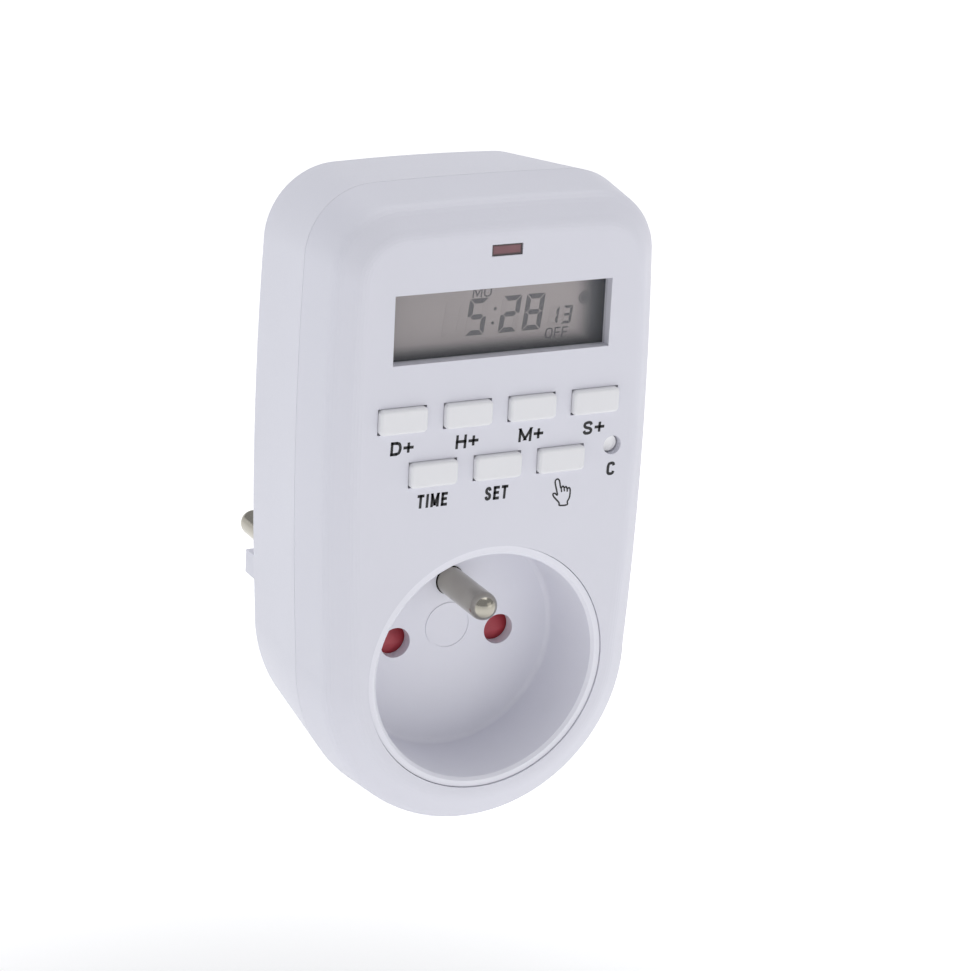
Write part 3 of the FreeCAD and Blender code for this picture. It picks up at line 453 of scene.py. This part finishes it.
# Plain letters on a unit square: a width, then pen lines, where s makes a line a smooth curve, c a closed one
LETTERS = {
    "+": (0.85, [("", [(0.5, 0.17), (0.5, 0.83)]), ("", [(0, 0.5), (1, 0.5)])]),
    "C": (0.92, [("s", [(1, 0.76), (0.86, 0.96), (0.5, 1), (0.12, 0.93), (0, 0.7), (0, 0.3), (0.12, 0.07),
                        (0.5, 0), (0.86, 0.04), (1, 0.24)])]),
    "D": (0.95, [("", [(0, 0), (0, 1)]), ("", [(0, 1), (0.5, 1)]), ("", [(0, 0), (0.5, 0)]),
                 ("s", [(0.45, 1), (0.85, 0.92), (1, 0.65), (1, 0.35), (0.85, 0.08), (0.45, 0)])]),
    "E": (0.78, [("", [(0, 0), (0, 1)]), ("", [(0, 1), (1, 1)]), ("", [(0, 0), (1, 0)]),
                 ("", [(0, 0.52), (0.85, 0.52)])]),
    "F": (0.76, [("", [(0, 0), (0, 1)]), ("", [(0, 1), (1, 1)]), ("", [(0, 0.5), (0.85, 0.5)])]),
    "H": (0.95, [("", [(0, 0), (0, 1)]), ("", [(1, 0), (1, 1)]), ("", [(0, 0.52), (1, 0.52)])]),
    "I": (0.0, [("", [(0, 0), (0, 1)])]),
    "M": (1.3, [("", [(0, 0), (0, 1)]), ("", [(1, 0), (1, 1)]), ("", [(0, 1), (0.5, 0.12)]),
                ("", [(0.5, 0.12), (1, 1)])]),
    "O": (1.0, [("c", [(0.5, 1), (0.88, 0.93), (1, 0.7), (1, 0.3), (0.88, 0.07), (0.5, 0), (0.12, 0.07),
                       (0, 0.3), (0, 0.7), (0.12, 0.93)])]),
    "S": (0.88, [("s", [(0.97, 0.76), (0.82, 0.96), (0.48, 1), (0.12, 0.93), (0.03, 0.74), (0.2, 0.57),
                        (0.78, 0.43), (0.97, 0.26), (0.86, 0.06), (0.5, 0), (0.14, 0.05), (0, 0.25)])]),
    "T": (0.9, [("", [(0, 1), (1, 1)]), ("", [(0.5, 0), (0.5, 1)])]),
}

# A stroke steeper than this gets level ends, and is drawn a little thinner than a level one
STEEP, THINNED = 0.4, 0.92
CURVE_STEPS = 5
# The part of the ink's thickness that a slab takes up, so that its back stays off the panel
INK_DEPTH = 0.95


def pen_bar(start, end, pen):
    """A straight pen stroke: a parallelogram longer by half a pen at each end, cut level or upright there."""
    way = end - start
    if abs(way[1]) > STEEP * abs(way[0]):
        grown = way / abs(way[1]) * pen / 2
        across = np.array([pen / 2 * np.hypot(*way) / abs(way[1]) * THINNED, 0.0])
    else:
        grown = way / abs(way[0]) * pen / 2
        across = np.array([0.0, pen / 2])
    start, end = start - grown, end + grown
    return np.array([start - across, end - across, end + across, start + across])


def lettering(name, text, place, size, y_front, film, pen, gap, material, slot, lean=0.05):
    """Printed letters as flat closed slabs: each one's pen lines scaled to the word's size, then sheared."""
    back = y_front + film * INK_DEPTH
    ratios = np.array([LETTERS[letter][0] for letter in text])
    wide = (size[0] - len(text) * pen - (len(text) - 1) * gap) / ratios.sum()
    starts = np.cumsum(np.concatenate([[0.0], ratios[:-1] * wide + pen + gap]))
    shapes = []
    for letter, start, ratio in zip(text, starts, ratios):
        scale = np.array([ratio * wide, size[1] - pen])
        corner = np.array([start + pen / 2 - size[0] / 2, pen / 2 - size[1] / 2])
        for kind, line in LETTERS[letter][1]:
            line = np.array(line, float) * scale + corner
            if kind:
                line = smooth_line(line, CURVE_STEPS, kind == "c")
                shapes.append(band_slab(line, pen, y_front, back, kind == "c"))
            else:
                shapes.append(slab(pen_bar(line[0], line[1], pen)[None], y_front, back))
    points, faces = join_slabs(shapes)
    points[:, 0] += lean * points[:, 2] + place[0]
    points[:, 2] += place[1]
    return as_object(name, points, faces, material, slot)


# Operators, one for each group of pieces

class FinishHousing(bpy.types.Operator):
    """Finish both housing shells and the socket well"""
    bl_idname = "timer.finish_housing"
    bl_label = "Housing"

    def execute(self, context):
        """Gives the shells their eroded grain and the well its smoother wall."""
        sizes = context.scene.timer_shell
        # White ABS from an eroded mould: a satin, faintly grainy skin with soft highlights
        shell = surface("abs_eroded_mould", sizes.shell, 0.46, sizes.grain, 0.012 * MM, sizes.patch, 0.012,
                        Specular_IOR_Level=0.4, IOR=MOULDING_IOR)
        # White polycarbonate from a finely spark-eroded core: whiter and smoother than the shells
        well = surface("polycarbonate_fine_core", sizes.well, 0.44, sizes.grain * 2, 0.006 * MM, sizes.patch,
                       0.012, Specular_IOR_Level=0.4, IOR=MOULDING_IOR)
        paint(("front_cover", "rear_cover"), shell)
        paint(("socket_well", "socket_floor"), well)
        # The floor's thin edge laps over the earth pin's wider shank
        pin = centre_of("earth_pin")
        ring = np.array([pin.x, pin.z]) + circle(sizes.lap, LAP_SIDES)
        lap = band_slab(ring, LAP_WIDTH, RECESS_FLOOR_Y + LAP_FRONT, RECESS_FLOOR_Y + LAP_BACK, True)
        as_object("floor_lap", *lap, well, "well")
        return {"FINISHED"}


class FinishKeys(bpy.types.Operator):
    """Finish the seven key caps, the reset plunger and the rubber mat under them"""
    bl_idname = "timer.finish_keys"
    bl_label = "Keys"

    def execute(self, context):
        """Paints each key by its name in the frame."""
        sizes = context.scene.timer_shell
        # White ABS keys from a polished mould: smoother and whiter than the shell
        cap = surface("abs_key_cap", sizes.key, 0.38, sizes.grain, 0.006 * MM, sizes.patch / 3, 0.01,
                      Specular_IOR_Level=0.45, IOR=MOULDING_IOR)
        # Moulded silicone rubber: dull grey with a soft sheen
        rubber = surface("silicone_moulded", srgb("#a7abb0"), 0.62, 0.8 * MM, 0.01 * MM, IOR=1.41)
        paint([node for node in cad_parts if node.startswith("key_") and node != "key_mat"], cap)
        # Natural acetal plunger: milky white and slightly waxy
        plunger = surface("acetal_natural", srgb("#ffffff"), 0.4, sizes.grain, 0.006 * MM, 3 * MM, 0.02,
                          IOR=1.48)
        paint(["reset_button"], plunger)
        paint(["key_mat"], rubber)
        return {"FINISHED"}


class FinishShutter(bpy.types.Operator):
    """Finish the red socket shutter, its guide plate and the moulded carriers"""
    bl_idname = "timer.finish_shutter"
    bl_label = "Shutter"

    def execute(self, context):
        """Red nylon for the shutter, natural nylon for what guides and carries."""
        sizes = context.scene.timer_shell
        # Moulded nylon, dyed dark red: a waxy sheen with a fine grain
        red = surface("nylon_dyed_red", sizes.shutter, 0.33, 0.5 * MM, 0.01 * MM, 6 * MM, 0.08,
                      Specular_IOR_Level=0.55, IOR=NYLON_IOR)
        # Natural nylon: milky ivory
        natural = surface("nylon_natural", srgb("#d9d6c8"), 0.5, 0.6 * MM, 0.01 * MM, 12 * MM, 0.03,
                          IOR=NYLON_IOR)
        paint(["socket_shutter"], red)
        paint(("shutter_retainer", "pin_carrier", "lcd_holder"), natural)
        return {"FINISHED"}


def paint_root_shade(made, name):
    """The pins' finish with painted shade: a dark ring where the earth pin's wider shank sits in the recess
    floor's hole.
    """
    made.name = name
    tree = made.node_tree
    shader = tree.nodes["Principled BSDF"]
    parts = add(tree, "SeparateXYZ", {}, {"Vector": add(tree, "TexCoord").outputs["Object"]})
    root_shade = add(tree, "MapRange", {}, {
        "Value": parts.outputs["Y"], "From Min": RECESS_FLOOR_Y + ROOT_SHADE_START,
        "From Max": RECESS_FLOOR_Y + ROOT_SHADE_END})
    # Painted shade: near black laid over the shank past the floor's front
    mix_in(tree, shader, root_shade.outputs["Result"], srgb("#3d3b38"))
    return made


class FinishMetal(bpy.types.Operator):
    """Finish the pins, contact strips, spring, screws and tabs"""
    bl_idname = "timer.finish_metal"
    bl_label = "Metal parts"

    def execute(self, context):
        """Nickel on the pins, bare brass strips, zinc-plated steel on the rest."""
        sizes = context.scene.timer_metal
        # Nickel-plated turned brass: warm grey, with fine marks along the pin
        nickel = surface("nickel_plated_brass", sizes.nickel, 0.17, sizes.draw_marks, 0.004 * MM, 5 * MM,
                         0.06, (1, 0.06, 1), Metallic=1.0)
        # Stamped brass strip: yellow metal with rolling marks across the sheet
        brass = surface("brass_stamped", sizes.brass, 0.32, 0.3 * MM, 0.004 * MM, 7 * MM, 0.08,
                        (1, 1, 0.08), Metallic=1.0)
        # Zinc-plated steel: bluish bright metal, a little blotchy
        zinc = surface("steel_zinc_plated", sizes.steel, 0.3, 0.4 * MM, 0.004 * MM, 3 * MM, 0.12,
                       Metallic=1.0)
        # Drawn spring wire: bright steel, smooth along the wire
        wire = surface("steel_spring_wire", sizes.steel, 0.2, 0.2 * MM, 0.002 * MM, 2 * MM, 0.05,
                       Metallic=1.0)
        paint(("line_plug_pin", "neutral_plug_pin", "plug_earth_clips"), nickel)
        paint(["earth_pin"], paint_root_shade(nickel.copy(), "nickel_plated_painted_root_shade"))
        paint(("line_contact", "neutral_contact", "plug_earth_contact", "earth_link", "line_bar",
               "neutral_bar"), brass)
        paint(("case_screws", "board_screws", "power_screws", "retainer_screws", "button_cell", "cell_tabs",
               "crystal"), zinc)
        paint(["shutter_spring"], wire)
        return {"FINISHED"}


def board_finish():
    """Glass-epoxy board with green solder mask over copper tracks: glossy, with track edges in relief."""
    made, tree, shader = blank("glass_epoxy_green_mask")
    place = add(tree, "TexCoord").outputs["Object"]
    upright = add(tree, "Mapping", {}, {"Vector": place, "Rotation": (math.pi / 2, 0, 0)})
    track = add(tree, "TexBrick", {"offset": 0.5}, {
        "Vector": upright.outputs["Vector"], "Scale": 1.0,
        "Brick Width": 7.5 * MM, "Row Height": 2.5 * MM, "Mortar Size": 0.5 * MM,
        "Color1": shade(srgb("#1d6b3a")), "Color2": shade(srgb("#1f7440")), "Mortar": shade(srgb("#2d8a50"))})
    bump = add(tree, "Bump", {}, {"Height": track.outputs["Fac"], "Distance": 0.03 * MM})
    tree.links.new(track.outputs["Color"], shader.inputs["Base Color"])
    tree.links.new(bump.outputs["Normal"], shader.inputs["Normal"])
    shader.inputs["Roughness"].default_value = 0.28
    return made


def strip_finish():
    """Striped rubber: thin black carbon layers between pink insulating ones.

    The layers are drawn coarser than the real 0.2 mm, so that they show.
    """
    made, tree, shader = blank("silicone_striped")
    place = add(tree, "TexCoord").outputs["Object"]
    wave = add(tree, "TexWave", {"bands_direction": "X"}, {"Vector": place, "Scale": 1 / (6 * MM)})
    ramp = add(tree, "ValToRGB", {}, {"Fac": wave.outputs["Fac"]})
    set_ramp(ramp.color_ramp, [(0.45, shade(srgb("#1b1b1c"))), (0.55, shade(srgb("#d99a98")))])
    tree.links.new(ramp.outputs["Color"], shader.inputs["Base Color"])
    shader.inputs["Roughness"].default_value = 0.6
    return made


class FinishBoards(bpy.types.Operator):
    """Finish both circuit boards and what is soldered to them"""
    bl_idname = "timer.finish_boards"
    bl_label = "Boards"

    def execute(self, context):
        """Each component gets the finish of its own casing."""
        board = board_finish()
        # Epoxy moulding compound and PVC sleeves: matt black
        black = surface("epoxy_moulded_black", srgb("#1d1d20"), 0.55, 0.3 * MM, 0.01 * MM, 6 * MM, 0.1)
        # Relay case in blue PBT: satin
        blue = surface("pbt_blue", srgb("#2464a8"), 0.4, 0.4 * MM, 0.008 * MM, 10 * MM, 0.05)
        # Film capacitor case: yellow self-extinguishing PBT
        yellow = surface("pbt_yellow", srgb("#e0b43a"), 0.42, 0.4 * MM, 0.008 * MM, 10 * MM, 0.05)
        # Dipped epoxy disc: glossy blue with an uneven coat
        dipped = surface("epoxy_dipped_blue", srgb("#2f7fc1"), 0.22, 1.6 * MM, 0.04 * MM, 5 * MM, 0.06)
        # Ribbon cable in grey PVC, ridged along its cores
        ribbon = surface("pvc_ribbon_grey", srgb("#b9bcc0"), 0.45, 0.9 * MM, 0.05 * MM, 5 * MM, 0.03,
                         (1, 0.05, 0.05))
        paint(("display_board", "power_board"), board)
        paint(["relay"], blue)
        paint(["film_capacitor"], yellow)
        paint(["varistor"], dipped)
        paint(("smoothing_capacitor", "storage_capacitor", "fuse", "diodes", "board_link", "controller"),
              black)
        paint(["link_wires"], ribbon)
        paint(["contact_strips"], strip_finish())
        return {"FINISHED"}


def pane_finish(sizes, low, high):
    """Reflective polariser behind liquid crystal: a warm grey film, shaded near the window's edges."""
    made, tree, shader = blank("polariser_reflective")
    place = add(tree, "TexCoord").outputs["Object"]
    parts = add(tree, "SeparateXYZ", {}, {"Vector": place})
    # The window's edge throws a deep soft shade from the right and the foot, and a faint one from the left
    from_right = add(tree, "MapRange", {"interpolation_type": "SMOOTHERSTEP"}, {
        "Value": parts.outputs["X"], "From Min": high.x - 5.8 * MM, "From Max": high.x - 0.3 * MM,
        "To Min": 0.0, "To Max": 1.0})
    from_foot = add(tree, "MapRange", {"interpolation_type": "SMOOTHSTEP"}, {
        "Value": parts.outputs["Z"], "From Min": low.z + 2.8 * MM, "From Max": low.z - 0.4 * MM,
        "To Min": 0.0, "To Max": 1.0})
    from_left = add(tree, "MapRange", {}, {
        "Value": parts.outputs["X"], "From Min": low.x, "From Max": low.x + 24 * MM,
        "To Min": 0.14, "To Max": 0.0})
    deepest = add(tree, "Math", {"operation": "MAXIMUM"}, {
        0: from_right.outputs["Result"], 1: from_foot.outputs["Result"]})
    total = add(tree, "Math", {"operation": "MAXIMUM"}, {
        0: deepest.outputs["Value"], 1: from_left.outputs["Result"]})
    mixed = add(tree, "Mix", {"data_type": "RGBA"}, {
        "Factor": total.outputs["Value"], "A": shade(sizes.pane), "B": shade(sizes.shade)})
    fine = add(tree, "TexNoise", {}, {"Vector": place, "Scale": 1 / (0.5 * MM), "Detail": 2.0})
    bump = add(tree, "Bump", {}, {"Height": fine.outputs["Fac"], "Distance": 0.004 * MM})
    tree.links.new(mixed.outputs["Result"], shader.inputs["Base Color"])
    tree.links.new(bump.outputs["Normal"], shader.inputs["Normal"])
    shader.inputs["Roughness"].default_value = 0.42
    shader.inputs["Metallic"].default_value = 0.15
    return made


def clear_finish():
    """Clear moulded polycarbonate: almost nothing but a thin even gloss and a trace of grey."""
    made, tree, shader = blank("polycarbonate_clear")
    place = add(tree, "TexCoord").outputs["Object"]
    broad = add(tree, "TexNoise", {}, {"Vector": place, "Scale": 1 / (9 * MM), "Detail": 1.0})
    gloss = add(tree, "MapRange", {}, {"Value": broad.outputs["Fac"], "To Min": 0.04, "To Max": 0.08})
    tree.links.new(gloss.outputs["Result"], shader.inputs["Roughness"])
    shader.inputs["Base Color"].default_value = shade(srgb("#c9ccd2"))
    shader.inputs["IOR"].default_value = CLEAR_IOR
    shader.inputs["Alpha"].default_value = 0.08
    return made


class BuildDisplay(bpy.types.Operator):
    """Finish the display's lens and pane, and build its segments and marks"""
    bl_idname = "timer.build_display"
    bl_label = "Display"

    def execute(self, context):
        """Digits, colon, small digits, words and a round mark on the front of the pane."""
        sizes = context.scene.timer_display
        low = WINDOW_LOW.copy()
        high = WINDOW_HIGH.copy()
        low.x, high.x = low.x + LENS_RIM[0], high.x - LENS_RIM[0]
        low.z, high.z = low.z + LENS_RIM[1], high.z - LENS_RIM[1]
        paint(["lcd_lens"], clear_finish())
        paint(["lcd_glass"], pane_finish(sizes, low, high))
        # Switched liquid crystal: neutral dark grey and even
        ink = surface("liquid_crystal_dark", sizes.mark, 0.5, 0.3 * MM, 0.002 * MM, 3 * MM, 0.05)
        # Unswitched segments: barely darker than the pane
        ghost = surface("liquid_crystal_clear", tuple(v * 0.9 for v in sizes.pane), 0.45, 0.3 * MM,
                        0.002 * MM, 3 * MM, 0.02)
        front, back = GLASS_Y - sizes.film, GLASS_Y - FILM_LIFT
        middle_z = low.z + DIGIT_RISE * MM
        large = (middle_z, sizes.digit_width, sizes.digit, sizes.bar)
        small = (middle_z - SMALL_DROP * MM, SMALL_WIDTH * MM, sizes.small, sizes.bar * SMALL_BAR)
        dots = discs(np.array(COLON) * MM, COLON_RADIUS * MM)
        lit = self.digits(LARGE_DIGITS, large) + self.digits(SMALL_DIGITS, small) + [dots]
        unlit = self.digits(LARGE_UNLIT, large) + self.digits(SMALL_UNLIT, small)
        for name, shapes, finish in (("display_digits", lit, ink), ("display_unlit_digits", unlit, ghost)):
            as_object(name, *join_slabs([slab(each, front, back) for each in shapes]), finish, "lcd")
        # A filled round mark inside a thin ring
        middle = np.array([ROUND_MARK]) * MM
        ring = middle + circle(ROUND_MARK_RING * MM, ROUND_MARK_SIDES)
        as_object("display_round_mark", *join_slabs([
            band_slab(ring, ROUND_MARK_PEN * MM, front, back, True),
            slab(discs(middle, ROUND_MARK_DISC * MM), front, back)]), ink, "lcd")
        for name, word, place, size in SIGNS:
            lettering(name, word, np.array(place) * MM, np.array(size) * MM, front, sizes.film,
                      SIGN_PEN * MM, SIGN_GAP * MM, ink, "lcd", SIGN_LEAN)
        return {"FINISHED"}

    def digits(self, row, shape):
        """The bars of a row of digits, which share their height on the pane, width, height and bar."""
        z, width, height, bar = shape
        return [digit_bars(which, x * MM, z, width, height, bar, SLANT) for which, x in row]


def lamp_window_finish():
    """Polycarbonate with a smoky red dye: brownish red, with painted shade near its edges, where they lie
    against the cover.
    """
    made = surface("polycarbonate_smoke_red_painted_rim_shade", srgb("#744950"), 0.2, 0.7 * MM, 0.01 * MM, 3 * MM, 0.12,
                   Specular_IOR_Level=0.5, IOR=CLEAR_IOR)
    tree = made.node_tree
    parts = add(tree, "SeparateXYZ", {}, {"Vector": add(tree, "TexCoord").outputs["Object"]})
    low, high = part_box("led_lens")
    edges = []
    for axis, centre, half in (("X", (low.x + high.x) / 2, (high.x - low.x) / 2 - LAMP_RIM[0]),
                               ("Z", (low.z + high.z) / 2, (high.z - low.z) / 2 - LAMP_RIM[1])):
        # How far a point lies from the window's middle, and how near that brings it to the edge, where the
        # painted shade falls
        off = add(tree, "Math", {"operation": "SUBTRACT"}, {0: parts.outputs[axis], 1: centre})
        off = add(tree, "Math", {"operation": "ABSOLUTE"}, {0: off.outputs["Value"]})
        edges.append(add(tree, "MapRange", {}, {
            "Value": off.outputs["Value"], "From Min": half - 0.4 * MM, "From Max": half - 0.12 * MM,
        }).outputs["Result"])
    # Painted shade: a dark brown laid over the window near its edges
    edge = add(tree, "Math", {"operation": "MAXIMUM"}, {0: edges[0], 1: edges[1]})
    mix_in(tree, tree.nodes["Principled BSDF"], edge.outputs["Value"], srgb("#2f2226"))
    return made


class FinishLamp(bpy.types.Operator):
    """Finish the red lamp window and the lamp behind it"""
    bl_idname = "timer.finish_lamp"
    bl_label = "Lamp window"

    def execute(self, context):
        """A smoky red bar, and behind it a lamp of clearer red, which is off."""
        # Cast epoxy lamp body: clear deep red
        lamp = surface("epoxy_cast_red", srgb("#a11a1e"), 0.12, 0.8 * MM, 0.004 * MM, 3 * MM, 0.05,
                       Transmission_Weight=0.4, IOR=1.5)
        paint(["led_lens"], lamp_window_finish())
        paint(["led_lamp"], lamp)
        return {"FINISHED"}


def screen_ink(sizes):
    """Screen-printed ink, made once: near black, slightly uneven and duller than the plastic under it."""
    found = bpy.data.materials.get("ink_screen_printed")
    return found or surface("ink_screen_printed", sizes.ink, 0.5, 0.2 * MM, 0.003 * MM, 1.5 * MM, 0.2)


class PrintLabels(bpy.types.Operator):
    """Print a plain generic legend under each key and a letter under the reset hole"""
    bl_idname = "timer.print_labels"
    bl_label = "Printed legends"

    def execute(self, context):
        """Each legend stands under its key, a little to the right of its middle."""
        sizes = context.scene.timer_print
        ink = screen_ink(sizes)
        front = PANEL_Y - sizes.film
        for node, word, width in LEGENDS:
            key = centre_of(node)
            place = (key.x + LEGEND_SHIFT * MM, key.z - sizes.drop)
            lettering(node.replace("key", "print"), word, place, (width * MM, sizes.cap), front, sizes.film,
                      sizes.pen, sizes.gap, ink, "black")
        hole = centre_of("reset_button")
        lettering("print_reset", RESET_LEGEND, (hole.x, hole.z - RESET_DROP * MM),
                  (RESET_WIDTH * MM, sizes.cap), front, sizes.film, sizes.pen, sizes.gap, ink, "black")
        return {"FINISHED"}


class PrintHand(bpy.types.Operator):
    """Print a pointing hand under the manual key"""
    bl_idname = "timer.print_hand"
    bl_label = "Printed hand"

    def execute(self, context):
        """A closed pen line for the hand and a short one for each fold."""
        sizes = context.scene.timer_print
        key = centre_of("key_manual")
        middle = np.array([key.x + HAND_SHIFT * MM, key.z - HAND_DROP * MM])
        front, back = PANEL_Y - sizes.film, PANEL_Y - INK_LIFT
        pen = HAND_PEN * MM
        outline = smooth_line(HAND_OUTLINE, HAND_STEPS, True) * MM + middle
        shapes = [band_slab(outline, pen, front, back, True)]
        for fold in HAND_FOLDS:
            shapes.append(band_slab(np.array(fold) * MM + middle, pen * FOLD_SHARE, front, back))
        as_object("print_hand", *join_slabs(shapes), screen_ink(sizes), "black")
        return {"FINISHED"}


class BuildStage(bpy.types.Operator):
    """Set the floor, the soft lights and the camera"""
    bl_idname = "timer.build_stage"
    bl_label = "Floor, lights and camera"

    def execute(self, context):
        """A plain pale floor well below the object, which hangs in its socket, and soft boxes round it."""
        sizes = context.scene.timer_stage
        self.lay_floor(sizes)
        self.hang_lights()
        self.set_air(context, sizes)
        self.set_camera(context)
        return {"FINISHED"}

    def lay_floor(self, sizes):
        """A round sheet far larger than the view, flat and then swept up before the air beyond it shows."""
        # Pale matt card that glows as if lit from below, with a painted shadow under the object where the
        # glow fades out: no grain that would show from here
        card = surface("card_matt_pale_painted_shadow", sizes.floor, 0.9, 40 * MM, 0.01 * MM, 900 * MM, 0.004,
                       Emission_Color=(1, 1, 1, 1))
        tree = card.node_tree
        place = add(tree, "TexCoord").outputs["Object"]
        away = add(tree, "VectorMath", {"operation": "LENGTH"}, {0: place})
        # Painted shadow: the floor's glow fades to nothing near the middle, under the object
        glow = add(tree, "MapRange", {"interpolation_type": "SMOOTHSTEP"}, {
            "Value": away.outputs["Value"], "From Min": PAINTED_SHADOW_START, "From Max": PAINTED_SHADOW_END,
            "To Min": 0.0, "To Max": sizes.floor_glow})
        tree.links.new(glow.outputs["Result"], tree.nodes["Principled BSDF"].inputs["Emission Strength"])
        # Rings of points round the middle: the height grows with the square of the way past the flat part
        turn = np.arange(FLOOR_SIDES) * 2 * np.pi / FLOOR_SIDES
        reach = np.linspace(FLOOR_FLAT, FLOOR_REACH, FLOOR_RINGS)[:, None]
        height = FLOOR_RISE * ((reach - FLOOR_FLAT) / (FLOOR_REACH - FLOOR_FLAT)) ** 2
        level = FOOT_Z - sizes.floor_drop
        rings = np.stack([reach * np.cos(turn), reach * np.sin(turn), level + height + 0 * turn], axis=2)
        side = np.arange(FLOOR_SIDES)
        ahead = (side + 1) % FLOOR_SIDES
        quads = np.stack([side, side + FLOOR_SIDES, ahead + FLOOR_SIDES, ahead], axis=1)
        start = np.arange(FLOOR_RINGS - 1)[:, None, None] * FLOOR_SIDES
        mesh = bpy.data.meshes.new("floor")
        mesh.from_pydata(rings.reshape(-1, 3).tolist(), [],
                         [side.tolist()] + (start + quads).reshape(-1, 4).tolist())
        mesh.polygons.foreach_set("use_smooth", np.full(len(mesh.polygons), True))
        mesh.materials.append(card)
        floor = bpy.data.objects.new("floor", mesh)
        bpy.context.scene.collection.objects.link(floor)

    def hang_lights(self):
        """Hangs each soft box at its place and turns it to its aim."""
        for name, place, aim, side, power, code in SOFT_BOXES:
            lamp = bpy.data.lights.new(name, "AREA")
            lamp.size = side
            lamp.energy = power
            lamp.color = srgb(code)
            holder = bpy.data.objects.new(name, lamp)
            bpy.context.scene.collection.objects.link(holder)
            way = np.array(aim) - np.array(place)
            back = -way / np.linalg.norm(way)
            right = np.cross((0, 0, 1), back)
            right /= np.linalg.norm(right)
            up = np.cross(back, right)
            turn = Matrix(np.stack([right, up, back], axis=1).tolist()).to_4x4()
            holder.matrix_world = Matrix.Translation(place) @ turn

    def set_air(self, context, sizes):
        """Even pale light from all round."""
        world = bpy.data.worlds.new("air")
        world.use_nodes = True
        air = world.node_tree.nodes["Background"]
        air.inputs["Color"].default_value = tuple(sizes.sky) + (1.0,)
        air.inputs["Strength"].default_value = sizes.sky_power
        context.scene.world = world
        context.scene.view_settings.view_transform = "Standard"

    def set_camera(self, context):
        """The camera stands where the photograph was taken from: turned, raised and rolled by its angles."""
        a, e, r = CAMERA_AZIMUTH, CAMERA_ELEVATION, CAMERA_ROLL
        back = np.array([math.sin(a) * math.cos(e), -math.cos(a) * math.cos(e), math.sin(e)])
        level = np.array([math.cos(a), math.sin(a), 0.0])
        raised = np.cross(back, level)
        right = level * math.cos(r) + raised * math.sin(r)
        up = raised * math.cos(r) - level * math.sin(r)
        data = bpy.data.cameras.new("photo_camera")
        data.sensor_width = SENSOR_MM
        data.lens = CAMERA_FOCAL_PIXELS * SENSOR_MM / max(PHOTO_PIXELS)
        data.clip_start, data.clip_end = 0.01, 60.0
        camera = bpy.data.objects.new("photo_camera", data)
        bpy.context.scene.collection.objects.link(camera)
        turn = Matrix(np.stack([right, up, back], axis=1).tolist()).to_4x4()
        camera.matrix_world = Matrix.Translation(CAMERA_PLACE) @ turn
        context.scene.camera = camera


STEPS = (FinishHousing, FinishKeys, FinishShutter, FinishMetal, FinishBoards, BuildDisplay, FinishLamp,
         PrintLabels, PrintHand, BuildStage)


class TimerPanel(bpy.types.Panel):
    """Sizes, colours and steps of the timer switch"""
    bl_idname = "VIEW3D_PT_timer_switch"
    bl_label = "Timer switch"
    bl_space_type = "VIEW_3D"
    bl_region_type = "UI"
    bl_category = "Timer"

    def draw(self, context):
        """Lists each step, then each group of sizes."""
        for step in STEPS:
            self.layout.operator(step.bl_idname)
        for group, kind in GROUPS.items():
            column = self.layout.column(align=True)
            for name in kind.__annotations__:
                column.prop(getattr(context.scene, group), name)


def register():
    """Adds the classes and the scene's groups of sizes."""
    for kind in (*GROUPS.values(), *STEPS, TimerPanel):
        bpy.utils.register_class(kind)
    for group, kind in GROUPS.items():
        setattr(bpy.types.Scene, group, PointerProperty(type=kind))


def unregister():
    """Takes them away again."""
    for group in GROUPS:
        delattr(bpy.types.Scene, group)
    for kind in reversed((*GROUPS.values(), *STEPS, TimerPanel)):
        bpy.utils.unregister_class(kind)


def main():
    """Registers the classes and runs every step in order."""
    register()
    for step in STEPS:
        group, name = step.bl_idname.split(".")
        getattr(getattr(bpy.ops, group), name)()


if __name__ == "__main__":
    main()
